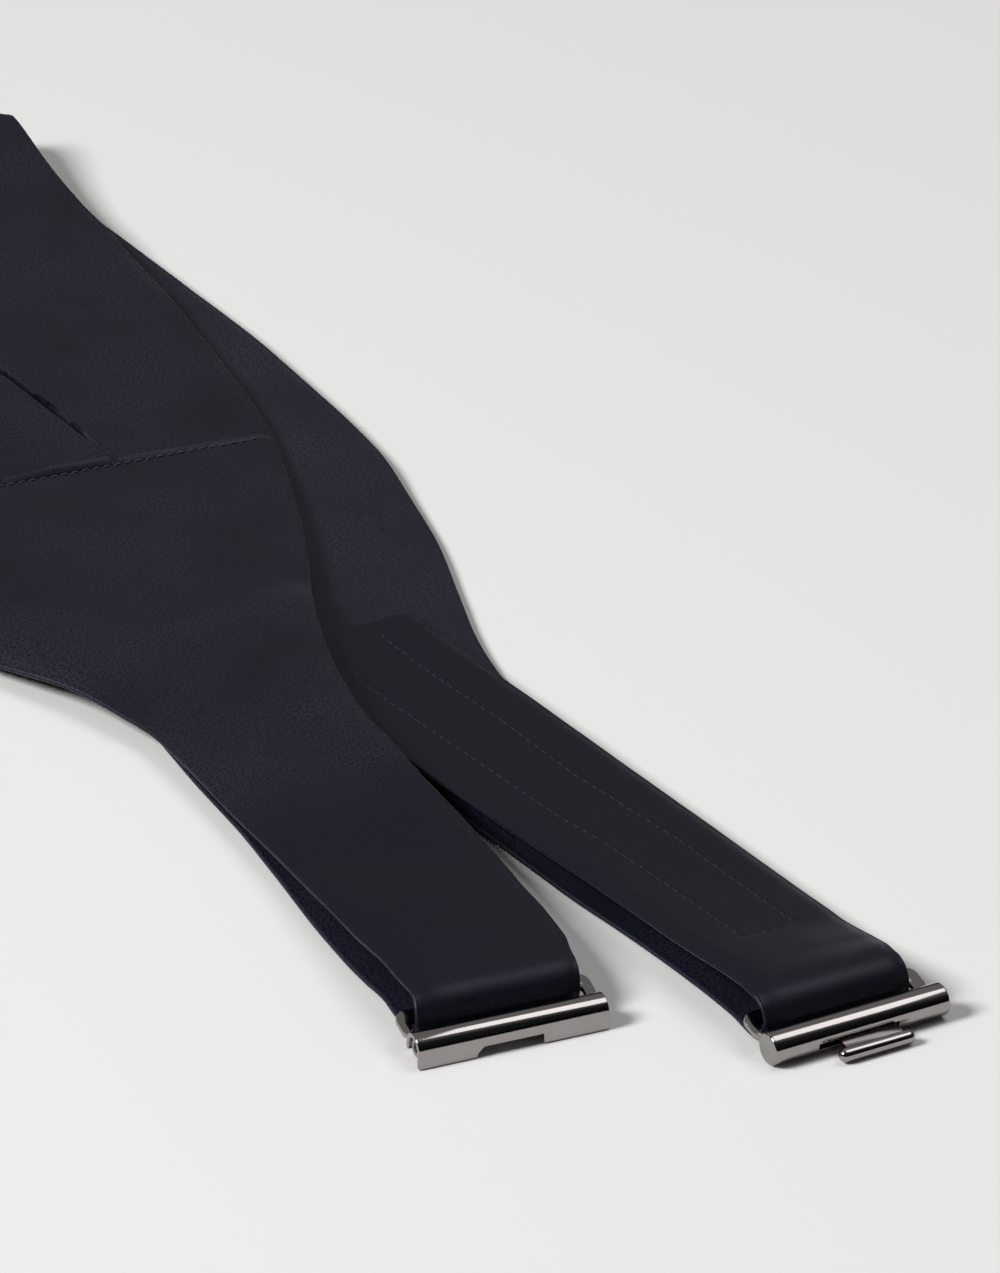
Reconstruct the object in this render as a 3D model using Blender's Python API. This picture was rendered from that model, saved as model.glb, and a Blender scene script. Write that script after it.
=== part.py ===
"""A pleated satin cummerbund with a hook and a socket clasp, folded in half and laid flat.

The garment is one long band: a pleated front, a side panel at each end that tapers into a strap, and a
lining behind all of it. Each strap passes round the rear bar of its half of the clasp and folds back on the
lining side. Here the band is folded across the front. Its lower leg lies with the lining up and ends in the
hook, and its upper leg lies with the outer cloth up and ends in the socket.

Lengths are in metres. A place on the cloth is (t, v): t runs along the band from the fold, plus towards the
socket and minus towards the hook, and v runs across it, plus towards the garment's top edge. On each leg, s is
the distance from the axis of the clasp's front bar, so the fold is at s = the leg's length. The drape below
turns (t, v) into a point on the middle surface between outer cloth and lining, and every cloth piece is a
wall at a stated distance from that surface.

Frame: +Z up, +X along the fold towards the garment's top edge, +Y from the clasps to the fold, with the
origin under the middle of the part, on the surface that it lies on.
"""

import math
from typing import NamedTuple

import bmesh
import bpy
import numpy as np

# Cloth and seams
COLUMNS = 9
WALL = 0.0010
SEAM_GAP = 0.0003
HALF_GAP = SEAM_GAP / 2
HALF_PLY = HALF_GAP + WALL
PLY = 2 * HALF_PLY
LAYER_GAP = 0.0003

# Cut of the band
BAND_HALF = 0.0600
STRAP_HALF = 0.0182
SOCKET_LEG = 0.4265
HOOK_LEG = 0.4550
SEAM_S = 0.2530
HOOK_EXTRA = 0.0080
FOLD_BACK_S = 0.1900

# Where the fold lies in the part's frame
FOLD_X = 0.00093
FOLD_Y = 0.22877

# Fold across the front
BEND_RADIUS = 0.0047
BEND_HALF_ARC = BEND_RADIUS * math.pi / 2
PLEAT_LIFT = 0.0008
BEND_DECAY = 0.018
BEND_POWER = 0.75
SETTLE = 0.060

# Loop of each strap round its clasp
LOOP_S = 0.0090
LOOP_RADIUS = 0.0055 - HALF_PLY
LOOP_Z = 0.0055
LOOP_ARC = math.pi * LOOP_RADIUS

# How the upper leg settles beside what it lies on
FALL = 0.030
EDGE_MARGIN = 0.004
STRAP_CLEAR = 0.085
STRAP_MET = 0.140
BLEND_POWER = 8

# Pleats of the front
PLEAT_FLAP = 0.00055
PLEAT_SLIT = 0.00025
PLEAT_OPENING = 0.00095
PLEAT_DEPTH = 0.0070
PLEAT_ROUND = 0.0005
PLEAT_RISE = 0.0120
OPEN_RAMP = 0.060
FAN_POWER = 2

# Clasp hardware, across the strap (x), along it towards the cloth (y) and up (z)
BAR_SIDES = 28
SOCKET_LENGTH = 0.0390
SOCKET_RADIUS = 0.00305
SOCKET_BORE = 0.00105
SOCKET_CORE = 0.0019
LIP_THICKNESS = 0.0010
NOTCH_LEFT_TOP = -0.0062
NOTCH_LEFT_FOOT = -0.0079
NOTCH_RIGHT = 0.0060
NOTCH_HEIGHT = 0.0020
HOOK_LENGTH = 0.0386
HOOK_RADIUS = 0.00325
SLOT_LEFT = -0.0098
SLOT_RIGHT = 0.0078
SLOT_DEPTH = 0.0027
TONGUE_LEFT = -0.0054
TONGUE_RIGHT = 0.0071
TONGUE_THICKNESS = 0.0009
TONGUE_Z = 0.0025
ROD_LEFT = -0.0076
ROD_RIGHT = 0.0089
ROD_RADIUS = 0.00135
ROD_Y = -0.0066
ROD_Z = 0.00145
TONGUE_BEND_Y = -0.0033
HOOK_SHIFT = -0.0008
RING_FRONT = 0.0022
RING_WINDOW_FRONT = 0.0026
RING_WINDOW_REAR = 0.00655
RING_REAR = 0.0096
RING_THICKNESS = 0.0012
RING_CORNER = 0.0025
RING_WINDOW_CORNER = 0.0013
RING_TILT = math.radians(16.2)


class Cut(NamedTuple):
    """Half widths of the band at one distance from the clasp."""

    s: float
    top: float
    bottom: float


class Trim(NamedTuple):
    """How much narrower than its cut the cloth lies, at a distance s along it past the start of its loop."""

    s: float
    top: float
    bottom: float


class Heading(NamedTuple):
    """How far a leg's middle line leans from +Y at one distance from the clasp, in degrees."""

    s: float
    socket: float
    hook: float


class Rest(NamedTuple):
    """Height of a ply's underside at its two edges, at one distance from the clasp."""

    s: float
    bottom_edge: float
    top_edge: float


class Pleat(NamedTuple):
    """Fold edge of one pleat: its v at the side seams and at the middle of the front."""

    seam: float
    middle: float


class Ring(NamedTuple):
    """Where a clasp's flat frame lies along its bar: its middle and the half widths of frame and window."""

    middle: float
    half: float
    window_half: float


class Finish(NamedTuple):
    """Colour and surface of a material."""

    colour: tuple
    roughness: float
    metallic: float


CUTS = (
    Cut(0.000, STRAP_HALF, STRAP_HALF),
    Cut(0.112, STRAP_HALF, STRAP_HALF),
    Cut(0.134, 0.0204, 0.0194),
    Cut(0.148, 0.0229, 0.0236),
    Cut(0.160, 0.0257, 0.0283),
    Cut(0.172, 0.0292, 0.0347),
    Cut(0.186, 0.0343, 0.0420),
    Cut(0.200, 0.0391, 0.0480),
    Cut(0.216, 0.0441, 0.0533),
    Cut(0.235, 0.0493, 0.0570),
    Cut(0.258, 0.0546, 0.0593),
    Cut(0.285, 0.0575, BAND_HALF),
    Cut(0.330, BAND_HALF, BAND_HALF),
    Cut(0.460, BAND_HALF, BAND_HALF),
)
SOCKET_TRIMS = (
    Trim(-0.0600, 0.0000, 0.0000),
    Trim(-0.0300, -0.0001, 0.0004),
    Trim(-0.0200, -0.0007, 0.0009),
    Trim(-0.0100, -0.0009, 0.0018),
    Trim(0.0000, 0.0006, 0.0020),
    Trim(0.0060, 0.0013, 0.0013),
    Trim(0.0137, 0.0016, 0.0018),
    Trim(0.0247, 0.0006, 0.0021),
    Trim(0.0347, 0.0002, 0.0007),
    Trim(0.0447, 0.0000, -0.0002),
    Trim(0.0600, 0.0000, -0.0006),
    Trim(0.0850, 0.0000, 0.0001),
    Trim(0.1050, 0.0000, 0.0010),
    Trim(0.1350, 0.0000, 0.0010),
    Trim(0.1650, 0.0000, 0.0000),
)
HOOK_TRIMS = (
    Trim(-0.2150, 0.0000, 0.0000),
    Trim(-0.1910, 0.0013, 0.0000),
    Trim(-0.1710, 0.0021, 0.0000),
    Trim(-0.1510, 0.0026, 0.0000),
    Trim(-0.1350, 0.0015, 0.0000),
    Trim(-0.1100, 0.0000, 0.0000),
    Trim(-0.0700, 0.0000, 0.0000),
    Trim(-0.0400, 0.0001, 0.0012),
    Trim(-0.0200, 0.0010, 0.0016),
    Trim(-0.0100, 0.0030, 0.0014),
    Trim(0.0000, 0.0040, 0.0004),
    Trim(0.0136, 0.0041, 0.0001),
    Trim(0.0186, 0.0030, 0.0006),
    Trim(0.0236, 0.0018, 0.0005),
    Trim(0.0286, 0.0012, 0.0003),
    Trim(0.0336, 0.0007, 0.0001),
    Trim(0.0436, 0.0002, 0.0000),
    Trim(0.0600, 0.0000, 0.0000),
)
HEADINGS = (
    Heading(0.000, 3.2, 3.2),
    Heading(0.010, 3.2, 3.2),
    Heading(0.022, 8.6, 3.4),
    Heading(0.040, 6.2, 4.1),
    Heading(0.070, 4.6, 4.9),
    Heading(0.090, 2.2, 5.0),
    Heading(0.110, 2.6, 5.1),
    Heading(0.130, 4.6, 5.1),
    Heading(0.150, 4.7, 5.1),
    Heading(0.250, 3.2, 4.0),
    Heading(0.350, 2.9, 2.9),
    Heading(0.460, 2.9, 2.9),
)
UPPER_RESTS = (
    Rest(0.009, 0.0087, 0.0087),
    Rest(0.020, 0.0085, 0.0088),
    Rest(0.035, 0.0070, 0.0088),
    Rest(0.060, 0.0052, 0.0085),
    Rest(0.090, 0.0033, 0.0078),
    Rest(0.136, 0.0012, 0.0055),
    Rest(0.163, 0.0004, 0.0045),
    Rest(0.195, 0.0000, 0.0040),
    Rest(0.233, 0.0000, 0.0032),
    Rest(0.460, 0.0000, 0.0030),
)
FOLD_BACK_RESTS = (
    Rest(0.009, 0.0087, 0.0087),
    Rest(0.020, 0.0085, 0.0058),
    Rest(0.035, 0.0077, 0.0032),
    Rest(0.062, 0.0066, 0.0026),
    Rest(0.080, 0.0058, 0.0026),
    Rest(0.100, 0.0048, 0.0026),
    Rest(0.125, 0.0040, 0.0026),
    Rest(0.160, 0.0030, 0.0026),
    Rest(0.190, 0.0026, 0.0026),
)
PLEATS = (
    Pleat(-0.0370, -0.0380),
    Pleat(-0.0090, -0.0130),
    Pleat(0.0167, 0.0058),
)
SOCKET_RING = Ring(0.0, 0.0198, 0.01795)
HOOK_RING = Ring(-0.0008, 0.01905, 0.01695)
FINISHES = {
    "outer_satin": Finish((0.013, 0.014, 0.024, 1.0), 0.45, 0.0),
    "lining_satin": Finish((0.014, 0.016, 0.030, 1.0), 0.40, 0.0),
    "clasp_metal": Finish((0.20, 0.19, 0.19, 1.0), 0.18, 1.0),
}


def smoothstep(x):
    """Rises from 0 to 1 as x does, level at both ends."""
    x = np.clip(x, 0.0, 1.0)
    return x * x * (3 - 2 * x)


def read_table(rows, column, s):
    """A column of a table at s, on a smooth curve through the rows that never overshoots them."""
    xs = np.array([row.s for row in rows])
    ys = np.array([getattr(row, column) for row in rows])
    steps = np.diff(xs)
    slopes = np.diff(ys) / steps
    product = slopes[:-1] * slopes[1:]
    total = slopes[:-1] + slopes[1:]
    tangents = np.zeros(len(xs))
    turning = product <= 0
    tangents[1:-1] = np.where(turning, 0.0, 2 * product / np.where(turning, 1.0, total))
    s = np.clip(s, xs[0], xs[-1])
    i = np.clip(np.searchsorted(xs, s) - 1, 0, len(xs) - 2)
    h = steps[i]
    x = (s - xs[i]) / h
    return (
        ys[i] * (1 + 2 * x) * (1 - x) ** 2
        + tangents[i] * h * x * (1 - x) ** 2
        + ys[i + 1] * x * x * (3 - 2 * x)
        + tangents[i + 1] * h * x * x * (x - 1)
    )


class Leg:
    """One half of the folded band: its middle line in plan, measured from the fold."""

    STEP = 0.001

    def __init__(self, name, length, side, trims, extra=0.0, clasp_shift=0.0):
        self.name = name
        self.length = length
        self.side = side
        self.trims = trims
        self.extra = extra
        self.clasp_shift = clasp_shift
        self.run = np.arange(0.0, length + self.STEP, self.STEP)
        lean = self.lean(length - self.run)
        middle = (lean[1:] + lean[:-1]) / 2
        self.along = np.concatenate([[0.0], np.cumsum(np.cos(middle)) * self.STEP])
        self.aside = np.concatenate([[0.0], np.cumsum(np.sin(middle)) * self.STEP])

    def lean(self, s):
        """Angle between the middle line and +Y."""
        return np.radians(read_table(HEADINGS, self.name, s))

    def cut(self, column, s):
        """Half width of the cloth at s, on the side that column names."""
        return read_table(CUTS, column, s - self.extra)

    def plan(self, s, v):
        """X of the point (s, v), and its signed distance from the crease along the cloth."""
        run = self.length - s
        lean = self.lean(s)
        x = FOLD_X - self.side * np.interp(run, self.run, self.aside) + v * np.cos(lean)
        reach = self.side * np.interp(run, self.run, self.along) + v * np.sin(lean)
        return x, reach

    def local(self, x, y):
        """The (s, v) of a point in plan."""
        reach = np.clip(bend_y() - y, 0.0, None) + BEND_HALF_ARC
        run = np.interp(reach, self.along, self.run)
        s = self.length - run
        middle_x = FOLD_X - self.side * np.interp(run, self.run, self.aside)
        lean = self.lean(s)
        return s - self.side * (middle_x - x) * np.sin(lean), (x - middle_x) * np.cos(lean)


def bend_y():
    """Y of the fold's centre line."""
    return FOLD_Y - BEND_RADIUS


def front_share(s):
    """1 where the lower leg is raised by the thickness of the pleats under it, 0 on the side panel."""
    return smoothstep((s - SEAM_S - HOOK_EXTRA + 0.028) / 0.024)


def between_edges(rows, leg, s, v):
    """Height of a ply's underside between the heights of its two edges."""
    top = leg.cut("top", s)
    bottom = leg.cut("bottom", s)
    share = np.clip((v + bottom) / (top + bottom), 0.0, 1.0)
    low = read_table(rows, "bottom_edge", s)
    high = read_table(rows, "top_edge", s)
    return low + (high - low) * share


def faded(distance, fall=FALL):
    """Share of a support that is left at a distance outside its edge."""
    return 1 - smoothstep(distance / fall)


def lower_leg_top(x, y):
    """Height, in plan, that the lower leg and its fold-back hold up, falling to the floor beside them."""
    s, v = HOOK.local(x, y)
    outside = -HOOK.cut("bottom", s) - EDGE_MARGIN - v
    met = smoothstep((s - STRAP_CLEAR) / (STRAP_MET - STRAP_CLEAR))
    panel = (PLY + LAYER_GAP + PLEAT_LIFT * front_share(s)) * faded(outside)
    strap = between_edges(FOLD_BACK_RESTS, HOOK, s, v) + PLY + LAYER_GAP
    strap = strap * faded(s - FOLD_BACK_S - EDGE_MARGIN) * faded(outside)
    return met * smooth_highest(panel, strap)


def smooth_highest(*heights):
    """The highest of several heights, with the change from one to the next rounded."""
    total = sum(np.clip(height, 0.0, None) ** BLEND_POWER for height in heights)
    return total ** (1 / BLEND_POWER)


def upper_underside(x, y, s, v):
    """Height of the upper leg's underside: it lies on the floor, the lower leg and its own fold-back."""
    line = between_edges(UPPER_RESTS, SOCKET, s, v)
    beneath = lower_leg_top(x, y)
    own = faded(np.abs(v) - STRAP_HALF - EDGE_MARGIN) * faded(s - FOLD_BACK_S - EDGE_MARGIN)
    return smooth_highest(line, beneath + own * (PLY + LAYER_GAP))


def upper_height(x, y, s, v, reach):
    """Height of the upper leg's middle surface: what lies under it, and the rise towards the fold."""
    run = np.clip(reach - BEND_HALF_ARC, 0.0, None)
    at_fold = PLY + LAYER_GAP + PLEAT_LIFT
    settled = at_fold + (upper_underside(x, y, s, v) - at_fold) * smoothstep(run / SETTLE)
    bend_top = HALF_PLY + PLEAT_LIFT + 2 * BEND_RADIUS
    rise = bend_top - at_fold - HALF_PLY
    return settled + HALF_PLY + rise * (1 + (run / BEND_DECAY) ** 2) ** -BEND_POWER


def middle_surface(t, v):
    """Points between outer cloth and lining for arrays of t and v."""
    t, v = np.broadcast_arrays(np.asarray(t, float), np.asarray(v, float))
    points = np.zeros(t.shape + (3,))
    for leg in (SOCKET, HOOK):
        here = t >= 0 if leg is SOCKET else t < 0
        a, w = np.abs(t[here]), v[here]
        crest = leg.length - LOOP_S
        turn = np.clip((a - crest) / LOOP_RADIUS, 0.0, math.pi)
        s = np.where(a <= crest, leg.length - a, LOOP_S - LOOP_RADIUS * np.sin(turn))
        s = np.where(a > crest + LOOP_ARC, LOOP_S + a - crest - LOOP_ARC, s)
        x, reach = leg.plan(s, w)
        y = bend_y() - (np.abs(reach) - BEND_HALF_ARC)
        low = HALF_PLY + PLEAT_LIFT * front_share(s)
        if leg is SOCKET:
            z = upper_height(x, y, s, w, reach)
            folded = lower_leg_top(x, y) + HALF_PLY
        else:
            z = low
            folded = between_edges(FOLD_BACK_RESTS, leg, s, w) + HALF_PLY
        z = np.where(a > crest, LOOP_Z + leg.side * LOOP_RADIUS * np.cos(turn), z)
        z = np.where(a > crest + LOOP_ARC, folded, z)
        bend = np.abs(reach) < BEND_HALF_ARC
        angle = reach / BEND_RADIUS
        z = np.where(bend, HALF_PLY + PLEAT_LIFT + BEND_RADIUS * (1 + np.sin(angle)), z)
        y = np.where(bend, bend_y() + BEND_RADIUS * np.cos(angle), y)
        z = np.where(~bend & (reach < 0) & (a < crest), low, z)
        points[here] = np.stack([x, y, z], axis=-1)
    return points


def off_surface(t, v, height):
    """Points at a height from the middle surface, plus on the outer cloth's side."""
    probe = 0.0002
    along = middle_surface(t + probe, v) - middle_surface(t - probe, v)
    across = middle_surface(t, v + probe) - middle_surface(t, v - probe)
    normal = np.cross(along, across)
    normal /= np.linalg.norm(normal, axis=-1, keepdims=True)
    return middle_surface(t, v) + normal * np.asarray(height)[..., None]


SOCKET = Leg("socket", SOCKET_LEG, 1, SOCKET_TRIMS)
HOOK = Leg("hook", HOOK_LEG, -1, HOOK_TRIMS, HOOK_EXTRA, HOOK_SHIFT)


def strap_end(leg):
    """Distance along the cloth from the fold to the end of the fold-back."""
    return leg.length - LOOP_S + LOOP_ARC + FOLD_BACK_S - LOOP_S


def edge(t, column):
    """Half width of the cloth at each t, on the side that column names."""
    leg = SOCKET if t >= 0 else HOOK
    s = np.array([leg.length - abs(t)])
    half = STRAP_HALF if s[0] < LOOP_S else leg.cut(column, s)[0]
    return float(half - read_table(leg.trims, column, LOOP_S - s)[0])


def spaced(start, stop, step):
    """Evenly spaced stations from start to stop, no further apart than step, without the last."""
    count = max(1, math.ceil(abs(stop - start) / step - 1e-9))
    return list(np.linspace(start, stop, count, endpoint=False))


def front_stations(start, stop):
    """Stations from seam to seam: close together round the fold, wider on the legs."""
    bend = BEND_HALF_ARC + 0.004
    stations = spaced(start, -0.020, 0.020) + spaced(-0.020, -bend, 0.004)
    stations += spaced(-bend, bend, 0.0026) + spaced(bend, 0.060, 0.008)
    return np.array(stations + spaced(0.060, stop, 0.018) + [stop])


def side_stations(leg, start):
    """Stations of a side panel and its strap, out to the clasp, round the loop and back."""
    crest = leg.length - LOOP_S
    taper_end = leg.length - 0.115
    stations = spaced(start, taper_end, 0.011) + spaced(taper_end, crest - 0.028, 0.018)
    stations += spaced(crest - 0.028, crest, 0.007) + spaced(crest, crest + LOOP_ARC, 0.00115)
    after = crest + LOOP_ARC
    stations += spaced(after, after + 0.028, 0.007) + spaced(after + 0.028, strap_end(leg), 0.012)
    return leg.side * np.array(stations + [strap_end(leg)])


def skin(rings, cap_first=True, cap_last=True, rising=None):
    """A closed body through rings of equally many points.

    Where rising is given, each four-sided face is split in two along the diagonal that it asks for, so that
    two walls that face each other are split alike and keep their gap where the cloth twists.
    """
    rings = np.asarray(rings)
    count, around = rings.shape[:2]
    mesh = bmesh.new()
    verts = [[mesh.verts.new(point) for point in ring] for ring in rings]
    for i in range(count - 1):
        for j in range(around):
            k = (j + 1) % around
            a, b, c, d = verts[i][j], verts[i + 1][j], verts[i + 1][k], verts[i][k]
            if rising is None:
                mesh.faces.new((a, b, c, d))
            elif rising[j]:
                mesh.faces.new((a, b, c))
                mesh.faces.new((a, c, d))
            else:
                mesh.faces.new((a, b, d))
                mesh.faces.new((b, c, d))
    if cap_first:
        mesh.faces.new(verts[0])
    if cap_last:
        mesh.faces.new(verts[-1][::-1])
    bmesh.ops.recalc_face_normals(mesh, faces=mesh.faces)
    return mesh


def plain_profile(t, inner, outer):
    """Section of a plain wall: across at the outer height and back at the inner one."""
    v = np.linspace(-edge(t, "bottom"), edge(t, "top"), COLUMNS)
    return np.concatenate([v, v[::-1]]), np.repeat([outer, inner], COLUMNS)


def outer_profile(t):
    """Section of the outer cloth where it is plain."""
    return plain_profile(t, HALF_GAP, HALF_PLY)


def lining_profile(t):
    """Section of the lining."""
    return plain_profile(t, -HALF_PLY, -HALF_GAP)


def pleat_v(pleat, t):
    """v of a pleat's fold edge: it keeps its place on the front and fans out at the side seams."""
    half = (SOCKET_LEG + HOOK_LEG - HOOK_EXTRA) / 2 - SEAM_S
    middle_t = (SOCKET_LEG - HOOK_LEG + HOOK_EXTRA) / 2
    share = min(1.0, abs(t - middle_t) / half)
    return pleat.middle + (pleat.seam - pleat.middle) * share**FAN_POWER


def pleat_gap(t):
    """Height of the slit under a pleat's fold edge: shut on the floor and at the seams, open between."""
    from_seam = SOCKET_LEG - SEAM_S - t
    opened = smoothstep((t + 0.002) / 0.025) * smoothstep(from_seam / OPEN_RAMP)
    return PLEAT_SLIT + PLEAT_OPENING * float(opened)


def pleated_profile(t):
    """Section of the pleated front: stepped outside, one lapped band over the next, and plain inside."""
    low = HALF_PLY
    slit = pleat_gap(t)
    high = low + slit + PLEAT_FLAP
    pressed = 1 - float(smoothstep((t + 0.006) / 0.012))
    outline = [(-edge(t, "bottom"), low + (high - low) * pressed)]
    for pleat in PLEATS:
        v = pleat_v(pleat, t)
        outline += [
            (v - 1.6 * PLEAT_DEPTH, high),
            (v - PLEAT_ROUND, high),
            (v, low + slit + PLEAT_FLAP / 2),
            (v - PLEAT_ROUND, low + slit),
            (v - PLEAT_DEPTH, low + slit * 0.8),
            (v - PLEAT_DEPTH - PLEAT_ROUND, low + slit * 0.4),
            (v - PLEAT_DEPTH, low),
            (v + PLEAT_ROUND, low),
        ]
    last = pleat_v(PLEATS[-1], t)
    raised = low + (high - low) * pressed
    outline += [(last + PLEAT_RISE, raised), (edge(t, "top"), raised)]
    back = np.linspace(edge(t, "top"), -edge(t, "bottom"), COLUMNS)
    v = np.array([point[0] for point in outline] + list(back))
    heights = np.array([point[1] for point in outline] + [HALF_GAP] * COLUMNS)
    return v, heights


def cloth(stations, profile):
    """A wall of cloth through the sections that profile gives at the stations."""
    rings = []
    for t in stations:
        v, heights = profile(t)
        rings.append(off_surface(np.full(len(v), t), v, heights))
    rising = np.roll(v, -1) > v
    return skin(rings, rising=rising if stations[-1] > stations[0] else ~rising)


def material(name):
    """The material of that name, made once."""
    made = bpy.data.materials.get(name)
    if made is None:
        finish = FINISHES[name]
        made = bpy.data.materials.new(name)
        made.use_nodes = True
        shader = made.node_tree.nodes["Principled BSDF"]
        shader.inputs["Base Color"].default_value = finish.colour
        shader.inputs["Roughness"].default_value = finish.roughness
        shader.inputs["Metallic"].default_value = finish.metallic
        made.diffuse_color = finish.colour
    return made


def add_object(name, mesh, material_name, smooth_angle=35):
    """A named object from a bmesh, with its material and smooth shading."""
    data = bpy.data.meshes.new(name)
    mesh.to_mesh(data)
    mesh.free()
    data.materials.append(material(material_name))
    data.shade_smooth()
    data.set_sharp_from_angle(angle=math.radians(smooth_angle))
    made = bpy.data.objects.new(name, data)
    bpy.context.scene.collection.objects.link(made)
    return made


def prism(outline, x_low, x_high):
    """A body with the (y, z) outline as its section, from x_low to x_high."""
    return skin([[(x, y, z) for y, z in outline] for x in (x_low, x_high)])


def circle(centre_y, centre_z, radius, start=0.0, stop=360.0, sides=BAR_SIDES):
    """Points (y, z) of an arc, from start to stop degrees, counted from +Y towards +Z."""
    full = abs(stop - start) >= 360
    count = sides if full else max(2, math.ceil(abs(stop - start) / 360 * sides) + 1)
    angles = np.radians(np.linspace(start, stop, count, endpoint=not full))
    return [(centre_y + radius * math.cos(a), centre_z + radius * math.sin(a)) for a in angles]


def rounded_rectangle(middle, half_width, y_low, y_high, corner, steps=4):
    """Points (x, y) of a rectangle with round corners."""
    points = []
    left = middle - half_width + corner
    right = middle + half_width - corner
    corners = (
        (right, y_high - corner, 0),
        (left, y_high - corner, 90),
        (left, y_low + corner, 180),
        (right, y_low + corner, 270),
    )
    for x, y, start in corners:
        for angle in np.radians(np.linspace(start, start + 90, steps + 1)):
            points.append((x + corner * math.cos(angle), y + corner * math.sin(angle)))
    return points


def ring_plate(pivot_z, ring):
    """The clasp's flat frame: a window between two arms and a rear bar, tilted up from the front bar."""
    outer = rounded_rectangle(ring.middle, ring.half, RING_FRONT, RING_REAR, RING_CORNER)
    window = (ring.middle, ring.window_half, RING_WINDOW_FRONT, RING_WINDOW_REAR, RING_WINDOW_CORNER)
    window = rounded_rectangle(*window)
    low, high = -RING_THICKNESS / 2, RING_THICKNESS / 2
    sections = ((outer, low), (outer, high), (window, high), (window, low))
    rings = []
    for points, lift in sections:
        flat = np.array([(x, y, lift) for x, y in points])
        y = flat[:, 1] * math.cos(RING_TILT) - flat[:, 2] * math.sin(RING_TILT)
        z = flat[:, 1] * math.sin(RING_TILT) + flat[:, 2] * math.cos(RING_TILT)
        rings.append(np.stack([flat[:, 0], y, z + pivot_z], axis=-1))
    return skin([*rings, rings[0]], cap_first=False, cap_last=False)


def capsule(x_low, x_high, centre_y, centre_z, radius, sides=14, steps=3):
    """A round rod along X with round ends."""
    rings = []
    for side, end in ((-1, x_low + radius), (1, x_high - radius)):
        turns = np.radians(np.linspace(8, 90, steps + 1))
        for angle in turns if side < 0 else turns[::-1]:
            x = end + side * radius * math.cos(angle)
            ring = circle(centre_y, centre_z, radius * math.sin(angle), sides=sides)
            rings.append([(x, y, z) for y, z in ring])
    return skin(rings)


def combine(target, tool_mesh, name, operation):
    """Cuts or joins target with a guide body."""
    bmesh.ops.remove_doubles(tool_mesh, verts=tool_mesh.verts, dist=1e-7)
    bmesh.ops.recalc_face_normals(tool_mesh, faces=tool_mesh.faces)
    guide = add_object(name, tool_mesh, "clasp_metal")
    guide.hide_render = True
    guide.display_type = "WIRE"
    guide.parent = target
    modifier = target.modifiers.new(name, "BOOLEAN")
    modifier.operation = operation
    modifier.object = guide
    modifier.solver = "EXACT"


def put_at_clasp(made, leg, holder):
    """Parents a clasp piece to the part's empty, turned with the end of its strap."""
    x, reach = leg.plan(np.array([0.0]), np.array([0.0]))
    turn = -leg.side * float(leg.lean(np.array([0.0]))[0])
    x = float(x[0]) + leg.clasp_shift * math.cos(turn)
    y = float(bend_y() - abs(reach[0]) + BEND_HALF_ARC) + leg.clasp_shift * math.sin(turn)
    made.location = (x, y, 0.0)
    made.rotation_euler = (0.0, 0.0, turn)
    made.parent = holder


def build_socket(holder):
    """The socket: sheet rolled round a hollow core, a lip down to the floor with the hook's notch, and the frame."""
    z = SOCKET_RADIUS + 0.00005
    inside = LIP_THICKNESS - SOCKET_RADIUS
    outline = [(-SOCKET_RADIUS, 0.0)]
    outline += circle(0.0, z, SOCKET_RADIUS, 180, -20)
    outline += circle(0.0, z, SOCKET_CORE, -40, -150)
    outline += [(inside, z - 0.0009), (inside, 0.0)]
    half = SOCKET_LENGTH / 2
    socket = add_object("socket", prism(outline, -half, half), "clasp_metal")
    bore = prism(circle(0.0, z, SOCKET_BORE, sides=12), -half - 0.001, half + 0.001)
    combine(socket, bore, "socket_bore", "DIFFERENCE")
    notch = []
    for y in (-SOCKET_RADIUS - 0.001, inside + 0.0004):
        corners = (
            (NOTCH_LEFT_FOOT, -0.001),
            (NOTCH_LEFT_TOP, NOTCH_HEIGHT),
            (NOTCH_RIGHT, NOTCH_HEIGHT),
            (NOTCH_RIGHT, -0.001),
        )
        notch.append([(x, y, height) for x, height in corners])
    combine(socket, skin(notch), "socket_notch", "DIFFERENCE")
    combine(socket, ring_plate(z, SOCKET_RING), "socket_frame", "UNION")
    put_at_clasp(socket, SOCKET, holder)


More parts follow.
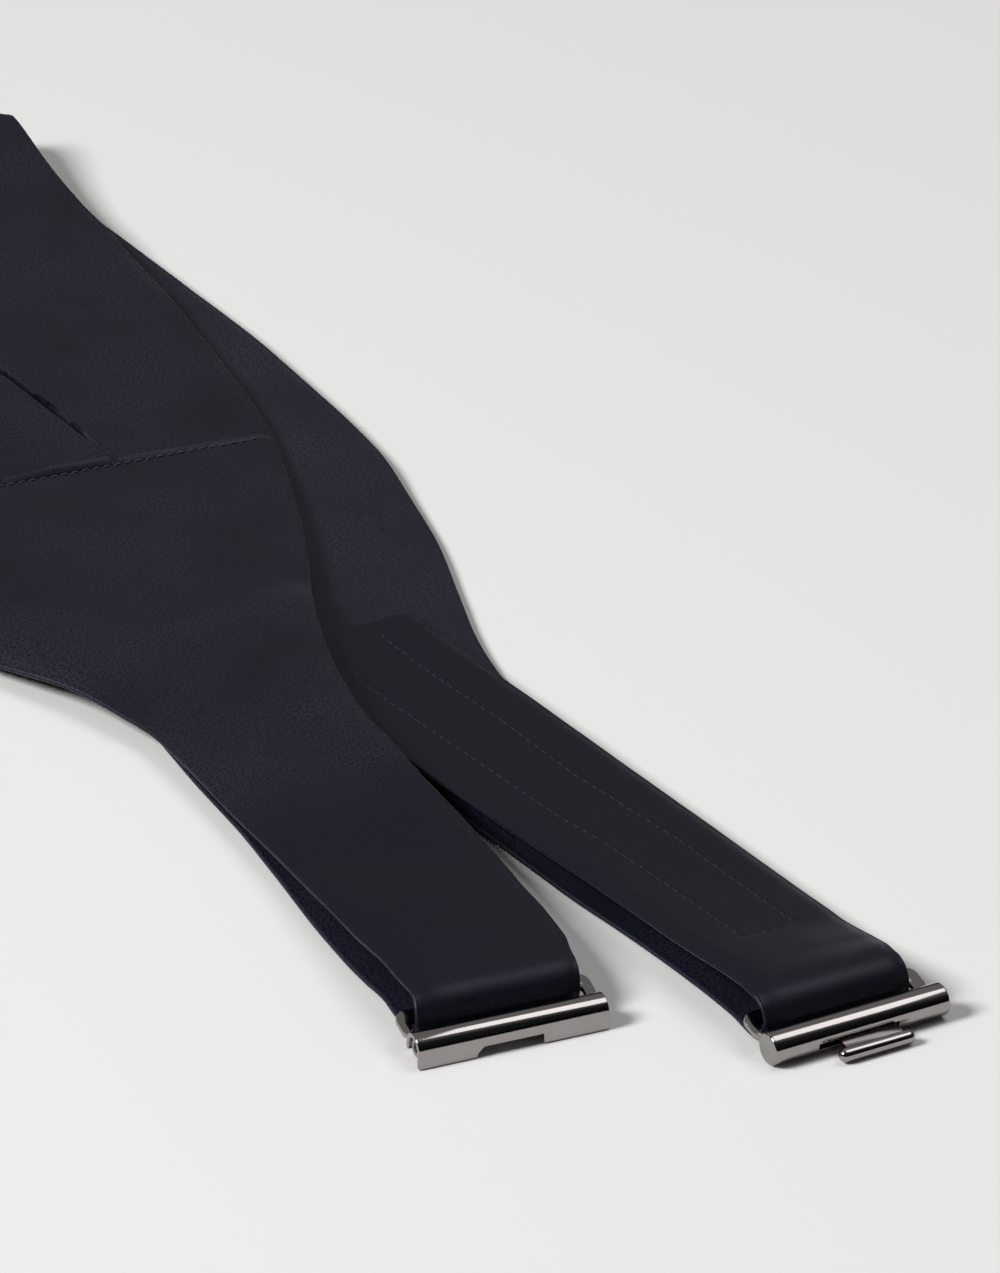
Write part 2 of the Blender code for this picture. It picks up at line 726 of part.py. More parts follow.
def build_hook(holder):
    """The hook: a solid front bar with its frame, and the tongue that stands in the bar's slot."""
    half = HOOK_LENGTH / 2
    chamfer = 0.00025
    rings = []
    for x, radius in ((-half, -chamfer), (chamfer - half, 0), (half - chamfer, 0), (half, -chamfer)):
        ring = circle(0.0, HOOK_RADIUS, HOOK_RADIUS + radius)
        rings.append([(x, y, z) for y, z in ring])
    frame = add_object("hook_frame", skin(rings), "clasp_metal")
    gap = SEAM_GAP + TONGUE_THICKNESS / 2
    slot_inner = SLOT_DEPTH - HOOK_RADIUS
    slot = [
        (-HOOK_RADIUS - 0.001, TONGUE_Z - gap),
        (slot_inner, TONGUE_Z - gap),
        (slot_inner, TONGUE_Z + gap),
        (-HOOK_RADIUS - 0.001, TONGUE_Z + gap),
    ]
    combine(frame, prism(slot, SLOT_LEFT, SLOT_RIGHT), "hook_slot", "DIFFERENCE")
    combine(frame, ring_plate(HOOK_RADIUS, HOOK_RING), "hook_window", "UNION")
    put_at_clasp(frame, HOOK, holder)
    thick = TONGUE_THICKNESS / 2
    plate = [
        (ROD_Y, ROD_Z - 0.0002),
        (TONGUE_BEND_Y, TONGUE_Z - thick),
        (slot_inner - SEAM_GAP, TONGUE_Z - thick),
        (slot_inner - SEAM_GAP, TONGUE_Z + thick),
        (TONGUE_BEND_Y, TONGUE_Z + thick),
        (ROD_Y, ROD_Z + 0.0007),
    ]
    tongue = add_object("hook_tongue", prism(plate, TONGUE_LEFT, TONGUE_RIGHT), "clasp_metal")
    rod = capsule(ROD_LEFT, ROD_RIGHT, ROD_Y, ROD_Z, ROD_RADIUS)
    combine(tongue, rod, "hook_rod", "UNION")
    put_at_clasp(tongue, HOOK, holder)


def build_cloth(holder):
    """The pleated front, the two side pieces with their straps, and the lining behind them all."""
    seam_socket = SOCKET_LEG - SEAM_S
    seam_hook = SEAM_S + HOOK_EXTRA - HOOK_LEG
    front = front_stations(seam_hook + HALF_GAP, seam_socket - HALF_GAP)
    pieces = [("front_pleated", front, pleated_profile, "outer_satin")]
    for leg, seam in ((SOCKET, seam_socket), (HOOK, -seam_hook)):
        stations = side_stations(leg, seam + HALF_GAP)
        name = f"side_{leg.name}"
        pieces.append((name, stations, outer_profile, "outer_satin"))
    hook_side = side_stations(HOOK, -seam_hook)[::-1]
    socket_side = side_stations(SOCKET, seam_socket)
    whole = np.concatenate([hook_side[:-1], front_stations(seam_hook, seam_socket), socket_side[1:]])
    pieces.append(("lining", whole, lining_profile, "lining_satin"))
    for name, stations, profile, finish in pieces:
        made = add_object(name, cloth(stations, profile), finish)
        made.parent = holder


def main():
    """Clears the scene and builds the part."""
    for old in list(bpy.data.objects):
        bpy.data.objects.remove(old)
    holder = bpy.data.objects.new("cummerbund", None)
    bpy.context.scene.collection.objects.link(holder)
    build_cloth(holder)
    build_socket(holder)
    build_hook(holder)


main()
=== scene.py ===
"""Visual model of a satin cummerbund, folded in half and laid flat, with its hook and socket clasp.

The garment is one long band: a pleated front, a side panel at each end that tapers into a strap, and a
lining.
A place on the cloth is (t, v), in metres: t runs along the band from the fold, plus towards the socket and
minus towards the hook, and v runs across it, plus towards the garment's top edge. On each leg, s is the
distance from the axis of the clasp's front bar. The Drape class turns (t, v) into a point on the middle
surface of the cloth, and every piece of cloth is a surface at a stated height from it.
"""

from __future__ import annotations

import logging
import math
from dataclasses import dataclass, field
from enum import Enum

import bmesh
import bpy
import numpy as np
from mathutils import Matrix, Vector


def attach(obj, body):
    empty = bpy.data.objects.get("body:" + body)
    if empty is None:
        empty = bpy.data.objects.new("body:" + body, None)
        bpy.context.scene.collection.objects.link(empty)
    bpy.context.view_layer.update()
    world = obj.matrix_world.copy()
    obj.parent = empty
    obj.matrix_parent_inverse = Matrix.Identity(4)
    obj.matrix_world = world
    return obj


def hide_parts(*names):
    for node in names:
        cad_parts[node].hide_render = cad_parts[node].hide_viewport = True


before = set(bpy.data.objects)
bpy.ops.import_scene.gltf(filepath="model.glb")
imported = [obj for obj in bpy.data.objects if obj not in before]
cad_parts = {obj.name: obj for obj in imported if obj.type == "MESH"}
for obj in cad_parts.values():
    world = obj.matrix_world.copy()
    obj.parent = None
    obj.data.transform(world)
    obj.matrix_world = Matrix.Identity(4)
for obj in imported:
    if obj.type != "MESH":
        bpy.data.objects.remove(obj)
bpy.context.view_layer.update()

LOG = logging.getLogger("cummerbund")
Array = np.ndarray
Triple = tuple[float, float, float]
Socket = bpy.types.NodeSocket


def smoothstep(x: Array | float) -> Array:
    """Rise from 0 to 1 as x does, level at both ends: x squared times (3 - 2x)."""
    x = np.clip(x, 0.0, 1.0)
    return x * x * (3 - 2 * x)


def rise_from(low: float, x: Array | float) -> Array:
    """Rise from low to 1 as x goes from 0 to 1, level at both ends."""
    return low + (1 - low) * smoothstep(x)


def quarter(x: Array | float, least: float = 0.0) -> Array:
    """Rise from 0 to 1 as a quarter circle does, but never below the root of least."""
    return np.sqrt(np.clip(1 - (1 - np.clip(x, 0, 1)) ** 2, least, 1))


def bell(x: Array | float) -> Array:
    """A bump of height 1 at 0 and about a third of it at 1: e to the power of minus x squared."""
    return np.exp(-np.square(x))


def add_object(name: str, data: bpy.types.ID) -> bpy.types.Object:
    """Put data into the scene as a new object.

    Args:
        name: The object's name.
        data: Its mesh, camera or light.

    Returns:
        The object.
    """
    thing = bpy.data.objects.new(name, data)
    bpy.context.scene.collection.objects.link(thing)
    return thing


@dataclass(frozen=True)
class Curve:
    """A smooth curve through rows of (place, value) that never overshoots a row.

    Between two rows it is the cubic with their values, and with slopes that are the harmonic mean of the two
    neighbouring steps' slopes, or 0 at a turn and at both ends.
    """

    rows: tuple[tuple[float, float], ...]

    def __call__(self, place: Array) -> Array:
        """Read the curve.

        Args:
            place: Places to read it at.

        Returns:
            Its values there.
        """
        xs, ys = np.array(self.rows).T
        steps = np.diff(xs)
        slopes = np.diff(ys) / steps
        product = slopes[:-1] * slopes[1:]
        total = slopes[:-1] + slopes[1:]
        tangents = np.zeros(len(xs))
        turning = product <= 0
        tangents[1:-1] = np.where(turning, 0.0, 2 * product / np.where(turning, 1.0, total))
        place = np.clip(place, xs[0], xs[-1])
        i = np.clip(np.searchsorted(xs, place) - 1, 0, len(xs) - 2)
        h = steps[i]
        x = (place - xs[i]) / h
        return (
            ys[i] * (1 + 2 * x) * (1 - x) ** 2
            + tangents[i] * h * x * (1 - x) ** 2
            + ys[i + 1] * x * x * (3 - 2 * x)
            + tangents[i + 1] * h * x * x * (x - 1)
        )


@dataclass(frozen=True)
class ClothSizes:
    """Cut, seams and plies of the cloth, in metres."""

    wall: float = 0.0010
    seam_gap: float = 0.0003
    layer_gap: float = 0.0003
    band_half: float = 0.0600
    strap_half: float = 0.0182
    seam_s: float = 0.2530
    fold_back_s: float = 0.1900
    edge_half: float = 0.00056
    edge_round: float = 0.00070
    edge_press: float = 0.0046
    crisp: float = 1.5
    end_round: float = 0.0009
    end_least: float = 0.002
    seam_dip: float = 0.0016
    seam_least: float = 0.25
    valley: float = 0.92
    valley_run: float = 0.0020
    back_height: float = 0.00002
    least_height: float = 0.00003

    @property
    def half_ply(self) -> float:
        """Half the thickness of outer cloth and lining together."""
        return self.seam_gap / 2 + self.wall

    @property
    def ply(self) -> float:
        """Thickness of outer cloth and lining together."""
        return 2 * self.half_ply


CLOTH = ClothSizes()

# Half widths of the band over the distance from the clasp.
TOP_CUT = Curve((
    (0.000, 0.0182), (0.112, 0.0182), (0.134, 0.0204), (0.148, 0.0229), (0.160, 0.0257), (0.172, 0.0292),
    (0.186, 0.0343), (0.200, 0.0391), (0.216, 0.0441), (0.235, 0.0493), (0.258, 0.0546), (0.285, 0.0575),
    (0.330, 0.0600), (0.460, 0.0600),
))
BOTTOM_CUT = Curve((
    (0.000, 0.0182), (0.112, 0.0182), (0.134, 0.0194), (0.148, 0.0236), (0.160, 0.0283), (0.172, 0.0347),
    (0.186, 0.0420), (0.200, 0.0480), (0.216, 0.0533), (0.235, 0.0570), (0.258, 0.0593), (0.285, 0.0600),
    (0.330, 0.0600), (0.460, 0.0600),
))
# Angles of the legs' middle lines to +Y, in degrees, over the distance from the clasp.
SOCKET_LEAN = Curve((
    (0.000, 3.2), (0.010, 3.2), (0.022, 8.6), (0.040, 6.2), (0.070, 4.6), (0.090, 2.2), (0.110, 2.6),
    (0.130, 4.6), (0.150, 4.7), (0.250, 3.2), (0.350, 2.9), (0.460, 2.9),
))
HOOK_LEAN = Curve((
    (0.000, 3.2), (0.010, 3.2), (0.022, 3.4), (0.040, 4.1), (0.070, 4.9), (0.090, 5.0), (0.110, 5.1),
    (0.130, 5.1), (0.150, 5.1), (0.250, 4.0), (0.350, 2.9), (0.460, 2.9),
))
# Heights of the undersides of the upper leg's and the fold-back's edges, over the distance from the clasp.
UPPER_BOTTOM = Curve((
    (0.009, 0.0087), (0.020, 0.0085), (0.035, 0.0070), (0.060, 0.0052), (0.090, 0.0033), (0.136, 0.0012),
    (0.163, 0.0004), (0.195, 0.0000), (0.233, 0.0000), (0.460, 0.0000),
))
UPPER_TOP = Curve((
    (0.009, 0.0087), (0.020, 0.0088), (0.035, 0.0088), (0.060, 0.0085), (0.090, 0.0078), (0.136, 0.0055),
    (0.163, 0.0045), (0.195, 0.0040), (0.233, 0.0032), (0.460, 0.0030),
))
FOLD_BACK_BOTTOM = Curve((
    (0.009, 0.0087), (0.020, 0.0085), (0.035, 0.0077), (0.062, 0.0066), (0.080, 0.0058), (0.100, 0.0048),
    (0.125, 0.0040), (0.160, 0.0030), (0.190, 0.0026),
))
FOLD_BACK_TOP = Curve((
    (0.009, 0.0087), (0.020, 0.0058), (0.035, 0.0032), (0.062, 0.0026), (0.080, 0.0026), (0.100, 0.0026),
    (0.125, 0.0026), (0.160, 0.0026), (0.190, 0.0026),
))
# What each edge loses or gains, over the distance along the cloth past the crest of the strap's loop.
SOCKET_TOP_TRIM = Curve((
    (-0.4180, -0.0014), (-0.3700, -0.0014), (-0.3300, -0.0007), (-0.2950, 0.0), (-0.0600, 0.0),
    (-0.0300, -0.0001), (-0.0200, -0.0007), (-0.0100, -0.0009), (0.0, 0.0006), (0.0060, 0.0013),
    (0.0137, 0.0016), (0.0247, 0.0006), (0.0347, 0.0002), (0.0447, 0.0),
))
SOCKET_BOTTOM_TRIM = Curve((
    (-0.4180, 0.0014), (-0.3700, 0.0014), (-0.3300, 0.0007), (-0.2950, 0.0), (-0.0600, 0.0),
    (-0.0300, 0.0004),
    (-0.0200, 0.0009), (-0.0100, 0.0018), (0.0, 0.0020), (0.0060, 0.0013), (0.0137, 0.0018), (0.0247, 0.0021),
    (0.0347, 0.0007), (0.0447, -0.0002), (0.0600, -0.0006), (0.0850, 0.0001), (0.1050, 0.0010),
    (0.1350, 0.0010), (0.1650, 0.0),
))
HOOK_TOP_TRIM = Curve((
    (-0.4460, -0.0014), (-0.4250, -0.0010), (-0.4000, 0.0), (-0.2150, 0.0), (-0.1910, 0.0013),
    (-0.1710, 0.0021), (-0.1510, 0.0026), (-0.1350, 0.0015), (-0.1100, 0.0), (-0.0700, 0.0),
    (-0.0400, 0.0001),
    (-0.0200, 0.0010), (-0.0100, 0.0030), (0.0, 0.0040), (0.0136, 0.0041), (0.0186, 0.0030), (0.0236, 0.0018),
    (0.0286, 0.0012), (0.0336, 0.0007), (0.0436, 0.0002), (0.0600, 0.0),
))
HOOK_BOTTOM_TRIM = Curve((
    (-0.4460, 0.0014), (-0.4250, 0.0010), (-0.4000, 0.0), (-0.0700, 0.0), (-0.0400, 0.0012),
    (-0.0200, 0.0016),
    (-0.0100, 0.0014), (0.0, 0.0004), (0.0136, 0.0001), (0.0186, 0.0006), (0.0236, 0.0005), (0.0286, 0.0003),
    (0.0336, 0.0001), (0.0436, 0.0),
))


@dataclass(frozen=True)
class Swell:
    """A low rise across the upper leg: a bell of s, slanted by v."""

    height: float
    place: float
    slant: float
    width: float


@dataclass(frozen=True)
class Wave:
    """A slow wave over the upper leg: a sine of s and v."""

    share: float
    along: float
    across: float
    shift: float


SWELLS = (
    Swell(0.00055, 0.372, 0.10, 0.011), Swell(0.00050, 0.338, 0.12, 0.012), Swell(0.00045, 0.201, 0.0, 0.026),
)
WAVES = (Wave(1.0, 58, 34, 0.6), Wave(0.7, 97, -61, 2.1), Wave(0.5, 151, 118, 4.0))
WAVE_HEIGHT, WAVE_LEVEL = 0.00011, 2.2
RIDGE_HEIGHT, RIDGE_WIDTH = 0.00032, 0.0032


@dataclass
class Leg:
    """One half of the folded band, from the fold to its clasp."""

    name: str
    length: float
    side: int
    lean_curve: Curve
    extra: float
    fold_x: float
    top_trim: Curve
    bottom_trim: Curve
    run: Array = field(init=False)
    along: Array = field(init=False)
    aside: Array = field(init=False)

    def __post_init__(self) -> None:
        """Add up the middle line in plan: steps of 1 mm, each turned by the lean there."""
        step = 0.001
        self.run = np.arange(0.0, self.length + step, step)
        lean = self.lean(self.length - self.run)
        middle = (lean[1:] + lean[:-1]) / 2
        self.along = np.concatenate([[0.0], np.cumsum(np.cos(middle)) * step])
        self.aside = np.concatenate([[0.0], np.cumsum(np.sin(middle)) * step])

    def lean(self, s: Array) -> Array:
        """Angle between the middle line and +Y at s, in radians."""
        return np.radians(self.lean_curve(s))

    def top(self, s: Array) -> Array:
        """Half width on the side of the garment's top edge."""
        return TOP_CUT(s - self.extra)

    def bottom(self, s: Array) -> Array:
        """Half width on the side of the garment's bottom edge."""
        return BOTTOM_CUT(s - self.extra)

    def plan(self, s: Array, v: Array) -> tuple[Array, Array]:
        """Place of (s, v) seen from above.

        Args:
            s: Distances from the clasp.
            v: Distances across the cloth.

        Returns:
            X, and the signed distance from the crease along the cloth.
        """
        run = self.length - s
        lean = self.lean(s)
        x = self.fold_x - self.side * np.interp(run, self.run, self.aside) + v * np.cos(lean)
        reach = self.side * np.interp(run, self.run, self.along) + v * np.sin(lean)
        return x, reach


@dataclass
class Drape:
    """How the folded band lies: the middle surface between outer cloth and lining."""

    fold_x: float = 0.00093
    fold_y: float = 0.22877
    bend_radius: float = 0.0047
    pleat_lift: float = 0.0008
    bend_decay: float = 0.018
    bend_power: float = 0.75
    settle: float = 0.060
    loop_s: float = 0.0090
    loop_z: float = 0.0055
    fall: float = 0.030
    side_fall: float = 0.022
    edge_margin: float = 0.004
    strap_clear: float = 0.085
    strap_met: float = 0.140
    blend_power: float = 8.0
    socket: Leg = field(init=False)
    hook: Leg = field(init=False)

    def __post_init__(self) -> None:
        """Make the two legs."""
        self.socket = Leg(
            "socket", 0.4265, 1, SOCKET_LEAN, 0.0, self.fold_x, SOCKET_TOP_TRIM, SOCKET_BOTTOM_TRIM
        )
        self.hook = Leg("hook", 0.4550, -1, HOOK_LEAN, 0.0080, self.fold_x, HOOK_TOP_TRIM, HOOK_BOTTOM_TRIM)

    @property
    def legs(self) -> tuple[Leg, Leg]:
        """Both legs."""
        return self.socket, self.hook

    @property
    def half_arc(self) -> float:
        """Half the length of cloth in the fold's bend."""
        return self.bend_radius * math.pi / 2

    @property
    def bend_y(self) -> float:
        """Y of the bend's centre line."""
        return self.fold_y - self.bend_radius

    @property
    def loop_radius(self) -> float:
        """Radius of the middle surface in a strap's loop."""
        return self.loop_z - CLOTH.half_ply

    @property
    def loop_arc(self) -> float:
        """Length of cloth in a strap's loop."""
        return math.pi * self.loop_radius

    def crest(self, leg: Leg) -> float:
        """Distance along the cloth from the fold to where the loop begins."""
        return leg.length - self.loop_s

    def strap_end(self, leg: Leg) -> float:
        """Distance along the cloth from the fold to the end of the fold-back."""
        return leg.length - 2 * self.loop_s + self.loop_arc + CLOTH.fold_back_s

    def on_legs(self, t: Array) -> tuple[tuple[Leg, Array], ...]:
        """Each leg with a mask of the places that are on it."""
        return (self.socket, t >= 0), (self.hook, t < 0)

    def seam(self, leg: Leg) -> float:
        """Distance along the cloth from the fold to the cross seam."""
        return leg.length - CLOTH.seam_s - leg.extra

    def faded(self, distance: Array) -> Array:
        """Share of a support's height that is left at a distance beyond its end."""
        return 1 - smoothstep(distance / self.fall)

    def beside(self, distance: Array) -> Array:
        """Share of a support's height that is left at a distance beside it, past a margin."""
        return 1 - smoothstep((distance - self.edge_margin) / self.side_fall)

    def highest(self, *heights: Array) -> Array:
        """The highest of several heights with rounded changes: the 8th root of the sum of 8th powers."""
        total = sum(np.clip(height, 0.0, None) ** self.blend_power for height in heights)
        return total ** (1 / self.blend_power)

    def between(self, low: Curve, high: Curve, leg: Leg, s: Array, v: Array) -> Array:
        """Height of a ply's underside, level with its two edges' curves and straight between them.

        Args:
            low: Curve of the bottom edge's height.
            high: Curve of the top edge's height.
            leg: The leg that the ply belongs to.
            s: Distances from the clasp.
            v: Distances across the cloth.

        Returns:
            Heights of the underside.
        """
        top, bottom = leg.top(s), leg.bottom(s)
        share = np.clip((v + bottom) / (top + bottom), 0.0, 1.0)
        return low(s) + (high(s) - low(s)) * share

    def front_share(self, s: Array) -> Array:
        """1 where pleats lie under the lower leg, and 0 on its side panel."""
        return smoothstep((s - CLOTH.seam_s - self.hook.extra + 0.028) / 0.024)

    def lower_leg_top(self, x: Array, y: Array) -> Array:
        """Height that the lower leg and its fold-back hold up, falling to the floor beside them.

        Args:
            x: X in plan.
            y: Y in plan.

        Returns:
            Heights of the support.
        """
        leg = self.hook
        reach = np.clip(self.bend_y - y, 0.0, None) + self.half_arc
        run = np.interp(reach, leg.along, leg.run)
        s = leg.length - run
        middle = self.fold_x + np.interp(run, leg.run, leg.aside)
        lean = leg.lean(s)
        s, v = s + (middle - x) * np.sin(lean), (x - middle) * np.cos(lean)
        outside = -leg.bottom(s) - v
        met = smoothstep((s - self.strap_clear) / (self.strap_met - self.strap_clear))
        panel = (CLOTH.ply + CLOTH.layer_gap + self.pleat_lift * self.front_share(s)) * self.beside(outside)
        strap = self.between(FOLD_BACK_BOTTOM, FOLD_BACK_TOP, leg, s, v) + CLOTH.ply + CLOTH.layer_gap
        strap = strap * self.faded(s - CLOTH.fold_back_s - self.edge_margin)
        strap = strap * self.beside(np.abs(v) - CLOTH.strap_half)
        return met * self.highest(panel, strap)

    def upper_height(self, x: Array, y: Array, s: Array, v: Array, reach: Array) -> Array:
        """Height of the upper leg's middle surface: what lies under it, and the rise towards the fold.

        Args:
            x: X in plan.
            y: Y in plan.
            s: Distances from the clasp.
            v: Distances across the cloth.
            reach: Distances from the crease along the cloth.

        Returns:
            Heights of the middle surface.
        """
        line = self.between(UPPER_BOTTOM, UPPER_TOP, self.socket, s, v)
        own = self.beside(np.abs(v) - CLOTH.strap_half)
        own = own * self.faded(s - CLOTH.fold_back_s - self.edge_margin)
        under = self.highest(line, self.lower_leg_top(x, y) + own * (CLOTH.ply + CLOTH.layer_gap))
        run = np.clip(reach - self.half_arc, 0.0, None)
        at_fold = CLOTH.ply + CLOTH.layer_gap + self.pleat_lift
        settled = at_fold + (under - at_fold) * smoothstep(run / self.settle)
        rise = CLOTH.half_ply + self.pleat_lift + 2 * self.bend_radius - at_fold - CLOTH.half_ply
        bend = rise * (1 + (run / self.bend_decay) ** 2) ** -self.bend_power
        return settled + CLOTH.half_ply + bend + self.swell(s, v)

    def swell(self, s: Array, v: Array) -> Array:
        """Soft waves of the upper leg that the light picks out, never below the plain drape.

        Rises across the leg beside the fold and after the cross seam, slow waves of a few tenths of a
        millimetre, and a long crease beside the last pleat.

        Args:
            s: Distances from the clasp.
            v: Distances across the cloth.

        Returns:
            Extra heights.
        """
        rises = sum(w.height * bell((s - w.place + w.slant * v) / w.width) for w in SWELLS)
        slow = sum(w.share * np.sin(s * w.along + v * w.across + w.shift) for w in WAVES)
        slow = WAVE_HEIGHT * (WAVE_LEVEL + slow) * smoothstep((s - 0.020) / 0.030)
        ridge = v - 0.0390 + 0.08 * (s - 0.300)
        crease = smoothstep((s - 0.262) / 0.02) * (1 - smoothstep((s - 0.335) / 0.03))
        return rises + slow + RIDGE_HEIGHT * bell(ridge / RIDGE_WIDTH) * crease

    def middle(self, t: Array, v: Array) -> Array:
        """Points on the middle surface.

        Args:
            t: Distances along the band from the fold.
            v: Distances across it.

        Returns:
            One (x, y, z) row for each place.
        """
        t, v = np.broadcast_arrays(np.asarray(t, float), np.asarray(v, float))
        points = np.zeros(t.shape + (3,))
        for leg, here in self.on_legs(t):
            a, w = np.abs(t[here]), v[here]
            crest, arc, radius = self.crest(leg), self.loop_arc, self.loop_radius
            turn = np.clip((a - crest) / radius, 0.0, math.pi)
            s = np.where(a <= crest, leg.length - a, self.loop_s - radius * np.sin(turn))
            s = np.where(a > crest + arc, self.loop_s + a - crest - arc, s)
            x, reach = leg.plan(s, w)
            y = self.bend_y - (np.abs(reach) - self.half_arc)
            low = CLOTH.half_ply + self.pleat_lift * self.front_share(s)
            if leg is self.socket:
                z = self.upper_height(x, y, s, w, reach)
                folded = self.lower_leg_top(x, y) + CLOTH.half_ply
            else:
                z = low
                folded = self.between(FOLD_BACK_BOTTOM, FOLD_BACK_TOP, leg, s, w) + CLOTH.half_ply
            z = np.where(a > crest, self.loop_z + leg.side * radius * np.cos(turn), z)
            z = np.where(a > crest + arc, folded, z)
            bend = np.abs(reach) < self.half_arc
            angle = reach / self.bend_radius
            z = np.where(bend, CLOTH.half_ply + self.pleat_lift + self.bend_radius * (1 + np.sin(angle)), z)
            y = np.where(bend, self.bend_y + self.bend_radius * np.cos(angle), y)
            z = np.where(~bend & (reach < 0) & (a < crest), low, z)
            points[here] = np.stack([x, y, z], axis=-1)
        return points

    def off(self, t: Array, v: Array, height: Array) -> Array:
        """Points at a height from the middle surface, plus on the outer cloth's side.

        The direction is the cross product of the surface's steps along and across the band.

        Args:
            t: Distances along the band from the fold.
            v: Distances across it.
            height: Heights from the middle surface.

        Returns:
            One (x, y, z) row for each place.
        """
        probe = 0.0002
        along = self.middle(t + probe, v) - self.middle(t - probe, v)
        across = self.middle(t, v + probe) - self.middle(t, v - probe)
        normal = np.cross(along, across)
        normal /= np.linalg.norm(normal, axis=-1, keepdims=True)
        return self.middle(t, v) + normal * np.asarray(height)[..., None]

    def edge(self, t: Array, top: bool) -> Array:
        """Half width of the cloth at t.

        Args:
            t: Distances along the band from the fold.
            top: Whether the garment's top edge is asked for.

        Returns:
            Half widths on that side.
        """
        widths = np.zeros_like(t)
        for leg, here in self.on_legs(t):
            s = leg.length - np.abs(t[here])
            cut = leg.top(s) if top else leg.bottom(s)
            trim = leg.top_trim if top else leg.bottom_trim
            past_crest = np.abs(t[here]) - self.crest(leg)
            widths[here] = np.where(s < self.loop_s, CLOTH.strap_half, cut) - trim(past_crest)
        return widths


class Finish(Enum):
    """The finishes of this object, each with the name that its material is named after."""

    OUTER = "outer_satin"
    LINING = "lining_satin"
    METAL = "clasp_metal"
    THREAD = "thread"


@dataclass
class NodeMaker:
    """Adds nodes to one tree and joins them."""

    tree: bpy.types.NodeTree

    @property
    def shader(self) -> bpy.types.Node:
        """The Principled shader."""
        return self.tree.nodes["Principled BSDF"]

    def add(self, kind: str, **settings: object) -> bpy.types.Node:
        """Add a node.

        Args:
            kind: The node's type without its ShaderNode prefix.
            **settings: Properties to set on it.

        Returns:
            The new node.
        """
        node = self.tree.nodes.new("ShaderNode" + kind)
        for name, value in settings.items():
            setattr(node, name, value)
        return node

    @staticmethod
    def fill(node: bpy.types.Node, values: dict[str, float | tuple[float, ...]]) -> None:
        """Set a node's inputs.

        Args:
            node: The node.
            values: Each input's name and value; a colour is given without its alpha.
        """
        for name, value in values.items():
            target = node.inputs[name]
            target.default_value = (*value, 1.0) if target.type == "RGBA" else value

    def ramp(self, source: Socket, values: tuple[float, ...], kind: str = "LINEAR") -> Socket:
        """Map a range to another one.

        Args:
            source: The value's socket.
            values: From min, from max, to min and to max.
            kind: The interpolation.

        Returns:
            The mapped value's socket.
        """
        node = self.add("MapRange", interpolation_type=kind)
        self.fill(node, dict(zip(("From Min", "From Max", "To Min", "To Max"), values)))
        self.join(source, node.inputs["Value"])
        return node.outputs["Result"]

    def join(self, source: Socket, target: Socket) -> None:
        """Link two sockets."""
        self.tree.links.new(source, target)

    def uv(self, scale: Triple, turn: float = 0.0) -> Socket:
        """Place along and across the cloth, scaled and turned.

        Args:
            scale: Factors along, across and unused.
            turn: Turn of the pattern, in radians.

        Returns:
            The vector's socket.
        """
        where = self.add("UVMap", uv_map="cloth")
        mapping = self.add("Mapping")
        self.fill(mapping, {"Scale": scale, "Rotation": (0.0, 0.0, turn)})
        self.join(where.outputs["UV"], mapping.inputs["Vector"])
        return mapping.outputs["Vector"]

    def noise(self, vector: Socket, scale: float, detail: float = 2.0) -> Socket:
        """Noise read at a vector.

        Args:
            vector: Where to read it.
            scale: Its scale.
            detail: How many finer layers it has.

        Returns:
            The noise factor's socket.
        """
        node = self.add("TexNoise")
        self.fill(node, {"Scale": scale, "Detail": detail})
        self.join(vector, node.inputs["Vector"])
        return node.outputs["Fac"]

    def spread(self, value: Socket, low: float, high: float) -> Socket:
        """Stretch a factor from 0..1 to low..high.

        Args:
            value: The factor's socket.
            low: The result at 0.
            high: The result at 1.

        Returns:
            The stretched value's socket.
        """
        return self.ramp(value, (0.0, 1.0, low, high))

    def mix(
        self,
        factor: Socket,
        first: tuple[float, ...] | Socket,
        second: tuple[float, ...] | Socket,
    ) -> Socket:
        """Mix two colours.

        Args:
            factor: How much of the second one.
            first: A colour or its socket.
            second: A colour or its socket.

        Returns:
            The mixed colour's socket.
        """
        node = self.add("Mix", data_type="RGBA")
        self.join(factor, node.inputs["Factor"])
        for name, colour in (("A", first), ("B", second)):
            target = next(i for i in node.inputs if i.name == name and i.type == "RGBA")
            if isinstance(colour, tuple):
                target.default_value = (*colour[:3], 1.0)
            else:
                self.join(colour, target)
        return next(o for o in node.outputs if o.type == "RGBA")

    def bump(self, height: Socket, depth: float, strength: float) -> None:
        """Add relief on top of the relief that the shader already has.

        Args:
            height: The relief's height from 0 to 1.
            depth: Its depth in metres.
            strength: How much of it to show.
        """
        node = self.add("Bump")
        self.fill(node, {"Strength": strength, "Distance": depth})
        self.join(height, node.inputs["Height"])
        target = self.shader.inputs["Normal"]
        if target.is_linked:
            self.join(target.links[0].from_socket, node.inputs["Normal"])
        self.join(node.outputs["Normal"], target)


def new_material(name: str) -> tuple[bpy.types.Material, NodeMaker]:
    """Start a material.

    Args:
        name: The material's name.

    Returns:
        The material, and the maker of its nodes.
    """
    material = bpy.data.materials.new(name)
    material.use_nodes = True
    return material, NodeMaker(material.node_tree)


